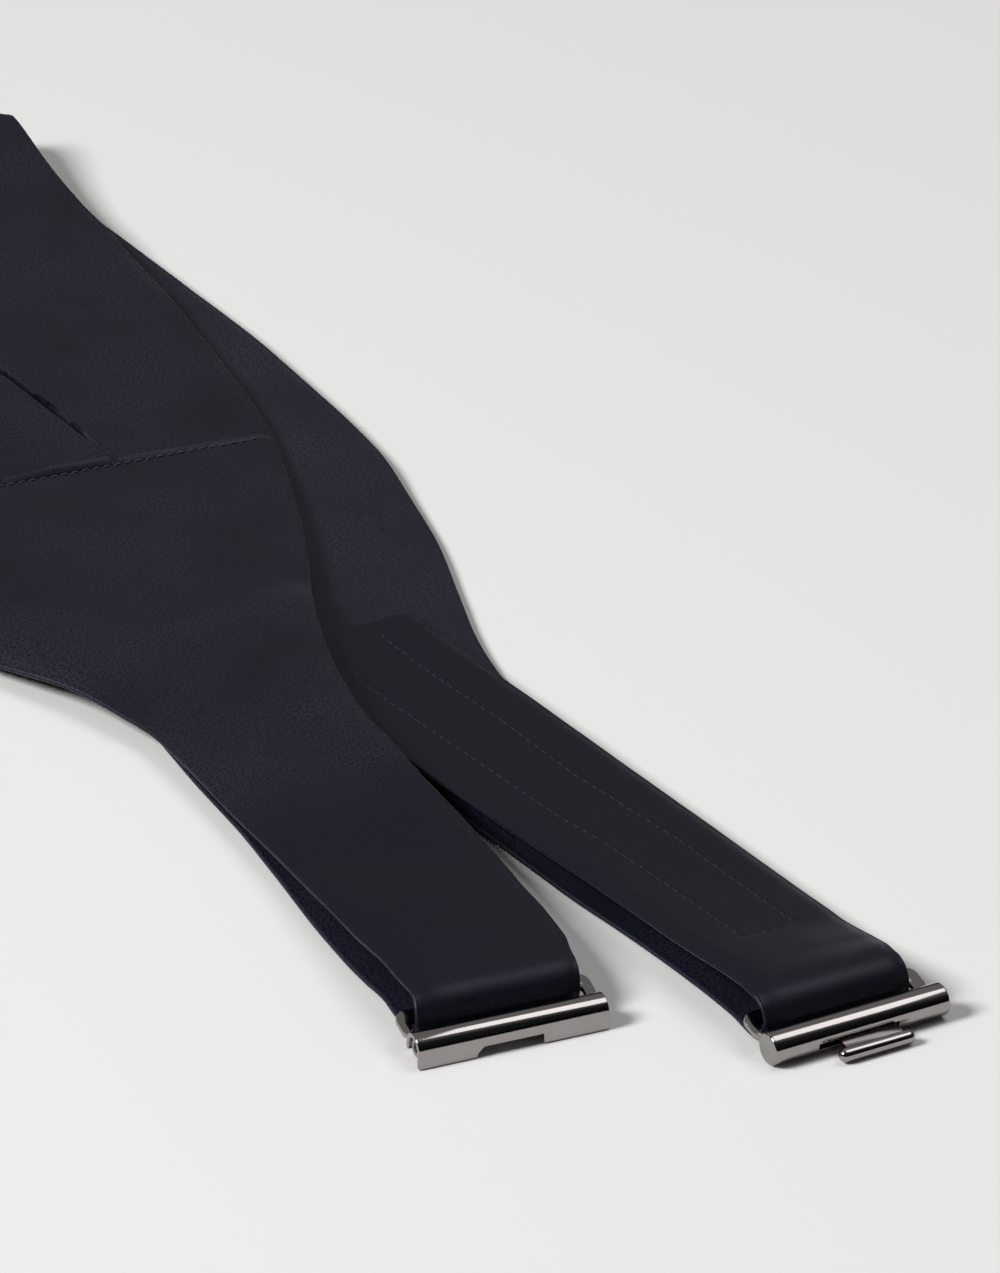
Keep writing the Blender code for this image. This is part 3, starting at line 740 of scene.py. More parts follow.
@dataclass(frozen=True)
class SatinLook:
    """A satin: colours in linear light, the weave's ribs in metres and radians, and its gloss."""

    dark: Triple
    light: Triple
    shade: Triple
    # strap: base colour painted on the straps: painted shade on the outer satin, painted light on the lining.
    strap: Triple
    tint: Triple
    sheen: float
    sheen_tint: Triple
    rib_pitch: float
    rib_strength: float
    rib_turn: float = 0.9
    specular: float = 0.30
    sheen_roughness: float = 0.45
    anisotropic: float = 0.35
    roughness: tuple[float, float] = (0.38, 0.48)
    strap_t: tuple[float, float] = (0.315, 0.350)
    grain_scale: Triple = (1300.0, 2100.0, 1.0)
    fleck_scale: Triple = (2300.0, 2300.0, 1.0)
    grain_spread: tuple[float, float] = (-3.0, 4.4)
    slow_spread: tuple[float, float] = (-1.0, 1.7)

    def strap_painted_light_and_shade(self, maker: NodeMaker) -> Socket:
        """1 on the straps, where the strap colour paints in light and shade, and 0 on the panels.

        Args:
            maker: Adds the nodes.

        Returns:
            The factor's socket.
        """
        parts = maker.add("SeparateXYZ")
        maker.join(maker.uv((1.0, 1.0, 1.0)), parts.inputs["Vector"])
        far = maker.add("Math", operation="ABSOLUTE")
        maker.join(parts.outputs["X"], far.inputs[0])
        return maker.ramp(far.outputs["Value"], (*self.strap_t, 0.0, 1.0), "SMOOTHSTEP")

    def dress(self, name: str) -> bpy.types.Material:
        """Make the material.

        Threads run along the cloth: fine noise gives their grain and flecks, a wave gives the weave's
        slanting ribs, and slow noise varies colour and gloss as worn and pressed satin does. On the straps
        the base colour gives way to the strap colour, which is painted shade on the outer satin and painted
        light on the lining.

        Args:
            name: The material's name.

        Returns:
            The material.
        """
        material, maker = new_material(name)
        shader = maker.shader
        slow = maker.noise(maker.uv((1.0, 1.0, 1.0)), 30.0, 6.0)
        grain = maker.noise(maker.uv(self.grain_scale), 1.0, 5.0)
        flecks = maker.noise(maker.uv(self.fleck_scale), 1.0, 1.0)
        # Painted light and shade: on the straps the base colour gives way to the strap colour.
        light = maker.mix(self.strap_painted_light_and_shade(maker), self.light, self.strap)
        colour = maker.mix(maker.spread(grain, *self.grain_spread), self.dark, light)
        shade = maker.mix(maker.spread(slow, *self.slow_spread), colour, self.shade)
        maker.join(shade, shader.inputs["Base Color"])
        maker.join(maker.spread(slow, *self.roughness), shader.inputs["Roughness"])
        maker.fill(shader, {
            "Specular IOR Level": self.specular, "Specular Tint": self.tint, "Sheen Weight": self.sheen,
            "Sheen Roughness": self.sheen_roughness, "Sheen Tint": self.sheen_tint,
            "Anisotropic": self.anisotropic,
        })
        tangent = maker.add("Tangent", direction_type="UV_MAP", uv_map="cloth")
        maker.join(tangent.outputs["Tangent"], shader.inputs["Tangent"])
        wave = maker.add("TexWave", wave_type="BANDS", bands_direction="X")
        scale = math.pi / 10 / self.rib_pitch
        maker.fill(wave, {"Scale": scale, "Distortion": 1.2, "Detail": 1.0, "Detail Scale": 1.5})
        maker.join(maker.uv((1.0, 1.0, 1.0), self.rib_turn), wave.inputs["Vector"])
        maker.bump(wave.outputs["Fac"], 0.00003, self.rib_strength)
        maker.bump(grain, 0.00003, 0.5)
        maker.bump(flecks, 0.00005, 0.7)
        return material


@dataclass(frozen=True)
class MetalLook:
    """Polished, smoky grey plating."""

    colour: Triple = (0.36, 0.335, 0.33)
    darker: float = 0.86
    roughness: tuple[float, float] = (0.07, 0.13)

    def dress(self, name: str) -> bpy.types.Material:
        """Make the material: slow noise varies its gloss, and a faint fine noise its surface.

        Args:
            name: The material's name.

        Returns:
            The material.
        """
        material, maker = new_material(name)
        where = maker.add("TexCoord").outputs["Object"]
        slow = maker.noise(where, 180.0, 3.0)
        fine = maker.noise(where, 2600.0, 2.0)
        darker = tuple(self.darker * c for c in self.colour)
        maker.join(maker.mix(slow, self.colour, darker), maker.shader.inputs["Base Color"])
        maker.join(maker.spread(slow, *self.roughness), maker.shader.inputs["Roughness"])
        maker.fill(maker.shader, {"Metallic": 1.0})
        maker.bump(fine, 0.00001, 0.25)
        return material


@dataclass(frozen=True)
class ThreadLook:
    """Sewing thread, a little lighter than the cloth."""

    colour: Triple = (0.050, 0.060, 0.095)
    darker: float = 0.5

    def dress(self, name: str) -> bpy.types.Material:
        """Make the material: twisted yarn, as fine noise.

        Args:
            name: The material's name.

        Returns:
            The material.
        """
        material, maker = new_material(name)
        twist = maker.noise(maker.add("TexCoord").outputs["Object"], 5000.0, 1.0)
        darker = tuple(self.darker * c for c in self.colour)
        maker.join(maker.mix(twist, darker, self.colour), maker.shader.inputs["Base Color"])
        maker.fill(maker.shader, {"Roughness": 0.45, "Specular IOR Level": 0.4})
        return material


# On the outer satin the strap colour is painted shade, much darker than the panels.
OUTER_LOOK = SatinLook(
    dark=(0.0010, 0.0010, 0.0026), light=(0.0140, 0.0135, 0.0240), shade=(0.0036, 0.0034, 0.0070),
    strap=(0.0034, 0.0032, 0.0095), tint=(0.80, 0.80, 1.0), sheen=0.02, sheen_tint=(0.50, 0.50, 0.95),
    rib_pitch=0.00042, rib_strength=0.30,
)
# On the lining the strap colour is painted light: a little lighter and bluer than the panels, where the
# lining shows in the gaps between the straps' plies.
LINING_LOOK = SatinLook(
    dark=(0.0016, 0.0014, 0.0034), light=(0.0180, 0.0160, 0.0290), shade=(0.0058, 0.0052, 0.0100),
    strap=(0.0150, 0.0180, 0.0340), tint=(0.84, 0.80, 1.0), sheen=0.03, sheen_tint=(0.55, 0.48, 0.95),
    rib_pitch=0.00055, rib_strength=0.60,
)
LOOKS = {
    Finish.OUTER: OUTER_LOOK,
    Finish.LINING: LINING_LOOK,
    Finish.METAL: MetalLook(),
    Finish.THREAD: ThreadLook(),
}


class Wardrobe:
    """Makes each finish once and hands it out."""

    def __init__(self) -> None:
        """Start with nothing made."""
        self.made: dict[Finish, bpy.types.Material] = {}

    def get(self, finish: Finish) -> bpy.types.Material:
        """The material of a finish.

        Args:
            finish: Which one.

        Returns:
            Its material.
        """
        if finish not in self.made:
            self.made[finish] = LOOKS[finish].dress(finish.value + "_look")
        return self.made[finish]


@dataclass
class Workshop:
    """Turns arrays of points into finished pieces that ride on the body."""

    wardrobe: Wardrobe = field(default_factory=Wardrobe)

    def finish(self, piece: bpy.types.Object, finish: Finish, sharp: float) -> bpy.types.Object:
        """Dress a piece, shade it and let it ride.

        Args:
            piece: The object.
            finish: Its finish.
            sharp: Edges sharper than this angle, in degrees, stay sharp.

        Returns:
            The same object.
        """
        piece.data.materials.append(self.wardrobe.get(finish))
        piece.data.shade_smooth()
        piece.data.set_sharp_from_angle(angle=math.radians(sharp))
        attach(piece, "root")
        LOG.info("%s: %d faces", piece.name, len(piece.data.polygons))
        return piece

    def mesh(self, name: str, points: Array, faces: Array, caps: list[list[int]]) -> bpy.types.Object:
        """An object from arrays, with its faces turned outwards.

        Args:
            name: The piece's name.
            points: One (x, y, z) row for each vertex.
            faces: One row of four vertex numbers for each face.
            caps: Faces with more corners.

        Returns:
            The object.
        """
        data = bpy.data.meshes.new(name)
        data.from_pydata(points.tolist(), [], [*faces.tolist(), *caps])
        turned = bmesh.new()
        turned.from_mesh(data)
        bmesh.ops.recalc_face_normals(turned, faces=turned.faces)
        turned.to_mesh(data)
        turned.free()
        return add_object(name, data)

    def rings(self, name: str, rings: Array, closed: bool = False) -> bpy.types.Object:
        """A closed surface through rings of equally many points: point (i, j) is ring i's point j.

        Args:
            name: The piece's name.
            rings: Array of rings, points and coordinates.
            closed: Whether the last ring joins the first one, so that no caps are needed.

        Returns:
            The bare object.
        """
        count, around = rings.shape[:2]
        index = np.arange(count * around).reshape(count, around)
        following = np.roll(index, -1, axis=0) if closed else index[1:]
        first = index if closed else index[:-1]
        faces = np.stack(
            [first, following, np.roll(following, -1, axis=1), np.roll(first, -1, axis=1)], axis=-1
        ).reshape(-1, 4)
        caps = [] if closed else [index[0].tolist(), index[-1][::-1].tolist()]
        return self.mesh(name, rings.reshape(-1, 3), faces, caps)

    def cloth(self, name: str, rings: Array, flat: Array, finish: Finish) -> bpy.types.Object:
        """A piece of cloth through rings, with each point's place on the flat cloth as its UV map.

        Args:
            name: The piece's name.
            rings: Array of rings, points and coordinates.
            flat: Place of each point on the flat cloth.
            finish: The piece's finish.

        Returns:
            The piece.
        """
        piece = self.rings(name, rings)
        corners = np.empty(len(piece.data.loops), np.int32)
        piece.data.loops.foreach_get("vertex_index", corners)
        layer = piece.data.uv_layers.new(name="cloth")
        layer.data.foreach_set("uv", flat.reshape(-1, 2)[corners].astype(np.float32).ravel())
        return self.finish(piece, finish, 50.0)


@dataclass(frozen=True)
class PleatLine:
    """v of a pleat's fold edge at the side seams and at the middle of the front."""

    seam: float
    middle: float


@dataclass(frozen=True)
class PleatSizes:
    """Sizes of the lapped pleats, in metres, and how far they stand open, as shares."""

    flap: float = 0.00055
    flap_at_seam: float = 0.30
    flap_run: float = 0.022
    slit: float = 0.00025
    opening: float = 0.0025
    depth: float = 0.0070
    rise: float = 0.0120
    sag: float = 0.00012
    sag_width: float = 0.0016
    open_at_seam: float = 0.25
    open_run: float = 0.042
    open_at_fold: float = 0.35
    closing: float = 0.110
    closing_run: float = 0.050
    groove: float = 0.0008
    groove_open: float = 0.0014
    shoulder: float = 0.0011
    shoulder_top: float = 0.0015
    shoulder_fall: float = 0.030
    lines: tuple[PleatLine, ...] = (
        PleatLine(-0.0370, -0.0380), PleatLine(-0.0090, -0.0195), PleatLine(0.0173, -0.0030),
    )


PLEATS = PleatSizes()

# Distances of the points beside an edge, after a groove and before a fold edge, in metres.
NEAR_EDGE = np.array([0.0, 0.04, 0.12, 0.25, 0.42, 0.60, 0.80, 1.4, 2.4, 3.8, 5.4, 7.0]) / 1000
FIRST_BAND = np.concatenate([
    NEAR_EDGE, NEAR_EDGE[-1] + (1 - np.cos(np.linspace(0, math.pi / 2, 10)[1:])) * 0.006,
])
NEXT_BAND = np.array([0.0, 0.3, 0.7, 1.1, 1.5, 1.9, 2.4, 2.9, 3.5, 4.2, 5.0, 5.8, 7.6, 9.6, 11.6]) / 1000
LAST_BAND = np.array([0.0, 0.3, 0.6, 0.9, 1.2, 1.6, 2.0, 2.5, 3.0, 3.6, 4.4, 5.4, 7.0, 9.5, 12.0]) / 1000
BEFORE_FOLD = np.array([2.8, 1.9, 1.2, 0.7, 0.3, 0.0]) / 1000


@dataclass(frozen=True)
class ClaspSizes:
    """Sizes of the clasp, in metres; x from the strap's middle, and z from the floor."""

    socket_half: float = 0.0195
    hook_shift: float = -0.0008
    socket_radius: float = 0.00305
    sheet: float = 0.0010
    core_radius: float = 0.0019
    bore_radius: float = 0.0009
    notch_foot: float = -0.0079
    notch_top: float = -0.0062
    notch_right: float = 0.0060
    notch_height: float = 0.0020
    hook_half: float = 0.0193
    hook_radius: float = 0.00325
    slot_left: float = -0.0098
    slot_right: float = 0.0078
    slot_depth: float = 0.0027
    slot_height: float = 0.0012
    tongue_left: float = -0.0054
    tongue_right: float = 0.0071
    tongue_thickness: float = 0.0009
    tongue_z: float = 0.0025
    bend_y: float = -0.0033
    rod_left: float = -0.0076
    rod_right: float = 0.0089
    rod_radius: float = 0.00135
    rod_y: float = -0.0066
    rod_z: float = 0.00145
    socket_frame: tuple[float, float] = (0.0, 0.0198)
    hook_frame: tuple[float, float] = (-0.0008, 0.01905)
    frame_front: float = 0.0022
    frame_rear: float = 0.0096
    frame_corner: float = 0.0025
    socket_window: tuple[float, float] = (0.0, 0.01750)
    hook_window: tuple[float, float] = (-0.0011, 0.01640)
    window_front: float = 0.0026
    window_rear: float = 0.00655
    window_corner: float = 0.0013
    frame_thickness: float = 0.0012
    frame_bevel: float = 0.00025
    frame_tilt: float = 16.2


CLASP = ClaspSizes()


@dataclass
class StitchRow:
    """A row of stitches along a straight line on the cloth."""

    start: tuple[float, float]
    stop: tuple[float, float]
    pitch: float = 0.0030
    share: float = 0.62
    radius: float = 0.00008
    dip: float = 0.00012

    @property
    def length(self) -> float:
        """Length of the row."""
        return math.dist(self.start, self.stop)

    def axes(self) -> tuple[Array, Array]:
        """The row's direction on the cloth, and the direction across it."""
        along = (np.array(self.stop) - np.array(self.start)) / self.length
        return along, np.array([-along[1], along[0]])

    def dimple(self, t: Array, v: Array) -> Array:
        """How far the row pulls the cloth down: a groove with a bell's section, deeper at each stitch's ends.

        Args:
            t: Distances along the band.
            v: Distances across it.

        Returns:
            Depths, 0 away from the row.
        """
        along, across = self.axes()
        dt, dv = t - self.start[0], v - self.start[1]
        run = dt * along[0] + dv * along[1]
        away = dt * across[0] + dv * across[1]
        near = bell(away / 0.0009)
        inside = smoothstep((run + 0.0006) / 0.0006) * smoothstep((self.length + 0.0006 - run) / 0.0006)
        ends = 0.72 + 0.28 * np.cos(2 * math.pi * run / self.pitch + math.pi)
        return self.dip * near * inside * ends

    def threads(self, drape: Drape, height: float) -> tuple[Array, Array, list[list[int]]]:
        """Small round rods laid along the row, each bowed up in its middle and sunk at its ends.

        A rod is 6 rings of 6 points. Ring k lies at k/5 of the stitch, its height is the half wave of that
        place, and its radius falls at both ends.

        Args:
            drape: The drape that carries the cloth.
            height: Height of the cloth's face from the middle surface.

        Returns:
            Points, faces and end caps.
        """
        along, across = self.axes()
        starts = np.arange(0.0, self.length - self.pitch * self.share, self.pitch)
        place = np.linspace(0.0, 1.0, 6)
        run = starts[:, None] + place[None, :] * self.pitch * self.share
        t = self.start[0] + run * along[0]
        v = self.start[1] + run * along[1]
        wobble = 0.00008 * np.sin(starts * 9000.0)[:, None]
        t, v = t + wobble * across[0], v + wobble * across[1]
        lift = height - self.dip * 0.9 + self.radius * (1.5 * np.sin(math.pi * place) - 0.5)[None, :]
        centre = drape.off(t, v, np.broadcast_to(lift, t.shape))
        upper = drape.off(t, v, np.broadcast_to(lift + 0.001, t.shape)) - centre
        upper /= np.linalg.norm(upper, axis=-1, keepdims=True)
        heading = np.gradient(centre, axis=1)
        heading /= np.linalg.norm(heading, axis=-1, keepdims=True)
        aside = np.cross(heading, upper)
        angle = np.linspace(0.0, 2 * math.pi, 6, endpoint=False)
        thin = self.radius * np.sqrt(1 - 0.85 * (2 * place - 1) ** 2)
        ring = np.cos(angle)[:, None] * aside[:, :, None, :] + np.sin(angle)[:, None] * upper[:, :, None, :]
        points = centre[:, :, None, :] + thin[None, :, None, None] * ring
        count = len(starts)
        index = np.arange(count * 36).reshape(count, 6, 6)
        faces = np.stack(
            [
                index[:, :-1], index[:, 1:],
                np.roll(index[:, 1:], -1, axis=2), np.roll(index[:, :-1], -1, axis=2),
            ],
            axis=-1,
        )
        caps = [*index[:, 0].tolist(), *index[:, -1, ::-1].tolist()]
        return points.reshape(-1, 3), faces.reshape(-1, 4), caps


# Rows on the fold-back: (distance from the clasp, v) of each corner.
UPPER_ROW = (
    (0.1865, 0.0068), (0.1630, 0.0060), (0.1370, 0.0066), (0.1100, 0.0058), (0.0750, 0.0076),
    (0.0335, 0.0070),
)
LOWER_ROW = ((0.1830, -0.0080), (0.1320, -0.0077), (0.0930, -0.0074), (0.0800, -0.0063), (0.0310, -0.0064))
CROSS_ROW = (UPPER_ROW[-1], LOWER_ROW[-1])


@dataclass
class Tailor:
    """Cuts and sews the cloth pieces of the band."""

    shop: Workshop
    drape: Drape = field(default_factory=Drape)
    columns: int = 72
    back_columns: int = 22
    rows: dict[str, list[StitchRow]] = field(default_factory=dict)

    def fold_back_t(self, leg: Leg, s: float) -> float:
        """The t of a place on the fold-back, s from the clasp."""
        return leg.side * (self.drape.crest(leg) + self.drape.loop_arc + s - self.drape.loop_s)

    def mark_rows(self) -> None:
        """Lay out the stitch rows: three on each fold-back, and one along each cross seam."""
        inset = 0.0012
        for leg in self.drape.legs:
            rows = []
            for path in (UPPER_ROW, LOWER_ROW, CROSS_ROW):
                places = [(self.fold_back_t(leg, s), v) for s, v in path]
                rows += [StitchRow(start, stop) for start, stop in zip(places, places[1:])]
            t = leg.side * (self.drape.seam(leg) + 0.0013)
            bottom, top = (float(self.drape.edge(np.array([t]), end)[0]) for end in (False, True))
            rows.append(StitchRow((t, inset - bottom), (t, top - inset), 0.0024, 0.84, 0.00017, 0.00005))
            self.rows[leg.name] = rows

    @staticmethod
    def band(begin: Array, finish: Array, count: int) -> Array:
        """Columns of points at each station: two given groups with evenly spaced ones between.

        Args:
            begin: The first group.
            finish: The last group.
            count: How many points there are between, with the groups' nearest ones counted.

        Returns:
            v of each point.
        """
        share = np.linspace(0.0, 1.0, count)[1:-1]
        between = begin[:, -1:] + (finish[:, :1] - begin[:, -1:]) * share
        return np.concatenate([begin, between, finish], axis=1)

    def across(self, t: Array, count: int) -> Array:
        """Columns of points across the cloth at each station, close together at both edges.

        Args:
            t: Stations.
            count: Points at each one.

        Returns:
            v of each point.
        """
        top, bottom = self.drape.edge(t, True)[:, None], self.drape.edge(t, False)[:, None]
        return self.band(NEAR_EDGE - bottom, top - NEAR_EDGE[::-1], count - 2 * len(NEAR_EDGE) + 2)

    def from_edge(self, t: Array, v: Array) -> Array:
        """Distance from the nearest edge, where the top edge counts as crisper.

        Args:
            t: Stations.
            v: Places across the cloth at each of them.

        Returns:
            The distances.
        """
        top, bottom = self.drape.edge(t, True)[:, None], self.drape.edge(t, False)[:, None]
        return np.minimum(v + bottom, CLOTH.crisp * (top - v))

    @staticmethod
    def ply_share(distance: Array) -> Array:
        """Share of half the ply's thickness at a distance from the edge.

        A quarter circle up to the pressed edge's thickness, then a slow rise to the full one.

        Args:
            distance: Distances from the edge.

        Returns:
            Shares from 0 to 1.
        """
        pressed = CLOTH.edge_half / CLOTH.half_ply
        rise = smoothstep((distance - CLOTH.edge_round) / (CLOTH.edge_press - CLOTH.edge_round))
        return pressed * quarter(distance / CLOTH.edge_round) + (1 - pressed) * rise

    @staticmethod
    def seam_share(t: Array, seam: float) -> Array:
        """Share of the thickness that is left beside a seam, which the cloth dips into."""
        dip = np.sqrt(smoothstep(np.abs(t - seam) / CLOTH.seam_dip))
        return CLOTH.seam_least + (1 - CLOTH.seam_least) * dip

    @staticmethod
    def free_share(t: Array, end: float) -> Array:
        """Share of the thickness that is left at a free end, which is round."""
        return quarter(np.abs(t - end) / CLOTH.end_round, CLOTH.end_least)

    def wall(
        self, name: str, t: Array, outer: bool, share: Array, rows: list[StitchRow], finish: Finish
    ) -> bpy.types.Object:
        """A wall of plain cloth: its face at half the ply's thickness, and its back by the middle surface.

        Args:
            name: The piece's name.
            t: Stations.
            outer: Whether it is the outer cloth.
            share: Share of the thickness at each station.
            rows: Stitch rows that pull its face down.
            finish: Its finish.

        Returns:
            The piece.
        """
        v = self.across(t, self.columns)
        distance = self.from_edge(t, v)
        height = CLOTH.half_ply * self.ply_share(distance) + self.relief(t[:, None], v, distance)
        height = height * share[:, None] - sum(row.dimple(t[:, None], v) for row in rows)
        return self.back_up(name, t, v, height, v, 1.0 if outer else -1.0, finish)

    def back_up(
        self, name: str, t: Array, v: Array, height: Array, flat: Array, side: float, finish: Finish
    ) -> bpy.types.Object:
        """Close a face with a plain back by the middle surface.

        Args:
            name: The piece's name.
            t: Stations.
            v: Places of the face's points across the cloth.
            height: Their heights.
            flat: Their places across the flat cloth.
            side: 1 for the outer cloth, and -1 for the lining.
            finish: The piece's finish.

        Returns:
            The piece.
        """
        back = self.across(t, self.back_columns)[:, ::-1]
        heights = [np.maximum(height, CLOTH.least_height), np.full(back.shape, CLOTH.back_height)]
        height = side * np.concatenate(heights, axis=1)
        v, flat = (np.concatenate([face, back], axis=1) for face in (v, flat))
        t = np.broadcast_to(t[:, None], v.shape)
        return self.shop.cloth(name, self.drape.off(t, v, height), np.stack([t, flat], axis=-1), finish)

    def relief(self, t: Array, v: Array, distance: Array) -> Array:
        """Fine unevenness of pressed cloth: products of sines a few hundredths of a millimetre high.

        Args:
            t: Distances along the band.
            v: Distances across it.
            distance: Distances from the nearest edge.

        Returns:
            Heights to add.
        """
        edge_ripple = bell((distance - 0.0022) / 0.0016) * np.sin(t * 610 + 2.0 * np.sin(t * 173))
        broad = np.sin(t * 210 + v * 160) * np.sin(v * 330 - t * 90 + 1.3)
        return 0.000030 * edge_ripple + 0.000045 * broad

    @staticmethod
    def stations(places: list[float], counts: list[int]) -> Array:
        """Stations with even steps between places, without the last place.

        Args:
            places: The places.
            counts: Points from each place to the next one, with both.

        Returns:
            The stations.
        """
        runs = zip(places, places[1:], counts)
        return np.concatenate([np.linspace(start, stop, count)[:-1] for start, stop, count in runs])

    def side_stations(self, leg: Leg) -> Array:
        """Stations of a side piece, from its seam round the clasp to the end of the fold-back.

        Args:
            leg: The leg that it belongs to.

        Returns:
            The stations.
        """
        crest, arc = self.drape.crest(leg), self.drape.loop_arc
        seam, end = self.drape.seam(leg) + CLOTH.seam_gap / 4, self.drape.strap_end(leg)
        places = [seam, seam + 0.0024, crest - 0.012, crest, crest + arc, end - 0.0080, end - 0.0010]
        last = end - 0.0010 * (1 - np.sin(np.linspace(0, math.pi / 2, 8)))
        return leg.side * np.concatenate([self.stations(places, [9, 110, 12, 40, 230, 14]), last])

    def hem(self, leg: Leg, t: Array) -> Array:
        """Extra share of thickness over the turned hem at the end of a fold-back."""
        return 0.10 * (1 - smoothstep((np.abs(leg.side * self.drape.strap_end(leg) - t) - 0.0066) / 0.0009))

    def side_piece(self, leg: Leg) -> bpy.types.Object:
        """Side panel and strap of a leg, in outer satin.

        Args:
            leg: The leg.

        Returns:
            The piece.
        """
        t = self.side_stations(leg)
        share = self.seam_share(t, leg.side * self.drape.seam(leg))
        share = share * self.free_share(t, leg.side * self.drape.strap_end(leg)) * (1 + self.hem(leg, t))
        node = f"side_{leg.name}"
        piece = self.wall(f"satin_{node}", t, True, share, self.rows[leg.name], Finish.OUTER)
        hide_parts(node)
        return piece

    def lining(self) -> bpy.types.Object:
        """The lining from the end of one strap to the end of the other."""
        socket, hook = self.drape.legs
        places = [-self.drape.seam(hook), -0.030, -0.009, 0.009, 0.030, self.drape.seam(socket)]
        front = np.append(self.stations(places, [70, 16, 40, 16, 70]), places[-1])[1:]
        socket_side, hook_side = (
            np.concatenate([t[:-21:2], t[-21:]]) for t in (self.side_stations(leg) for leg in (socket, hook))
        )
        t = np.concatenate([hook_side[::-1], front, socket_side[1:]])
        share = np.ones_like(t)
        for leg in self.drape.legs:
            share = share * self.free_share(t, leg.side * self.drape.strap_end(leg))
        piece = self.wall("satin_lining", t, False, share, [], Finish.LINING)
        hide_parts("lining")
        return piece

    def pleat_v(self, line: PleatLine, t: Array) -> Array:
        """Place of a pleat's fold edge, which fans out towards both side seams.

        Args:
            line: The pleat.
            t: Distances along the band.

        Returns:
            v of the edge.
        """
        socket, hook = self.drape.seam(self.drape.socket), self.drape.seam(self.drape.hook)
        share = np.clip(np.abs(t - (socket - hook) / 2) / ((socket + hook) / 2), 0, 1)
        return line.middle + (line.seam - line.middle) * share**2

    @staticmethod
    def shoulder(away: Array, opened: Array) -> Array:
        """Rise of a band out of the groove beside the fold that laps over it.

        A groove as wide as the pleat stands open, a round shoulder up to the fold's own height, and a slow
        fall back to the flat.

        Args:
            away: Distances from where the band comes out from under the fold.
            opened: How far the pleat stands open, from 0 to 1.

        Returns:
            Shares of the fold's height.
        """
        away = away - PLEATS.groove - PLEATS.groove_open * opened
        rise = smoothstep(away / PLEATS.shoulder)
        fall = 1 - smoothstep((away - PLEATS.shoulder_top) / PLEATS.shoulder_fall)
        return np.minimum(1.0, 2.0 * opened) * rise * fall

    def pleat_heights(self, t: Array) -> tuple[Array, Array, Array]:
        """How the pleats stand at each station: open where they show, and flatter at the seams and the fold.

        Args:
            t: Stations, as a column.

        Returns:
            How far they stand open, from 0 to 1, the height of the slit under them, and the flap's thickness.
        """
        to_seam = self.drape.seam(self.drape.socket) - t
        opened = smoothstep((t + 0.002) / 0.025) * rise_from(PLEATS.open_at_seam, to_seam / PLEATS.open_run)
        opened = opened * rise_from(PLEATS.open_at_fold, (PLEATS.closing - to_seam) / PLEATS.closing_run)
        from_seam = np.minimum(to_seam, self.drape.seam(self.drape.hook) + t)
        flap = PLEATS.flap * rise_from(PLEATS.flap_at_seam, from_seam / PLEATS.flap_run)
        slit = (PLEATS.slit + PLEATS.opening * opened) * smoothstep((from_seam + 0.004) / 0.009)
        return opened, slit, flap

    def front_profile(self, t: Array) -> tuple[Array, ...]:
        """Sections of the pleated face: bands that each rise to a round fold edge lying over the next band.

        Args:
            t: Stations.

        Returns:
            v and height of each point, and its place across the flat cloth.
        """
        low = CLOTH.half_ply
        opened, slit, flap = self.pleat_heights(t[:, None])
        high, radius, sag = low + slit + flap, flap / 2, PLEATS.sag * opened
        raised = low + (high - low) * (1 - smoothstep((t[:, None] + 0.006) / 0.012))
        start, first = -self.drape.edge(t, False)[:, None], raised
        hidden = np.zeros_like(start)
        turn = np.linspace(math.pi / 2, -math.pi / 2, 9)[1:-1]
        under = np.array([0.0, 0.25, 0.6, 1.0]) * PLEATS.depth
        strips = []
        for number, line in enumerate(PLEATS.lines):
            edge = self.pleat_v(line, t)[:, None]
            stop = edge - radius
            place = self.band(start + (NEXT_BAND if number else FIRST_BAND), stop - BEFORE_FOLD, 9)
            lift = first + (high - first) * smoothstep((place - start) / (edge - 1.6 * PLEATS.depth - start))
            lift = lift - sag * bell((place - edge) / PLEATS.sag_width)
            if number:
                lift = lift + (high - low) * self.shoulder(place - start, opened)
            strips.append((place, lift, place + hidden))
            round_the_edge = stop + hidden + radius * (math.pi / 2 - turn)
            rounded = lift[:, -1:] - radius + radius * np.sin(turn)
            strips.append((stop + radius * np.cos(turn), rounded, round_the_edge))
            hidden = hidden + radius * math.pi
            ply = low + slit * np.linspace(1.0, 0.8, 4) - sag * bell(under / PLEATS.sag_width)
            strips.append((stop - under, ply, stop + hidden + under))
            root, flat_root = stop - PLEATS.depth, stop + hidden + PLEATS.depth
            down = low + slit * np.array([0.4, 0.05])
            strips.append((root + np.array([-0.0004, -0.0001]), down, flat_root + np.array([0.0004, 0.0007])))
            hidden = hidden + 2 * PLEATS.depth
            floor = root + np.array([0.0008, 0.0030])
            strips.append((floor, np.full(floor.shape, low), floor + hidden))
            start, first = stop + radius - 0.0006, low
        place = self.band(start + LAST_BAND, self.drape.edge(t, True)[:, None] - NEAR_EDGE[::-1], 22)
        lift = low + (raised - low) * smoothstep((place - start) / PLEATS.rise)
        lift = lift + (high - low) * self.shoulder(place - start, opened)
        strips.append((place, lift, place + hidden))
        return tuple(np.concatenate(columns, axis=1) for columns in zip(*strips))

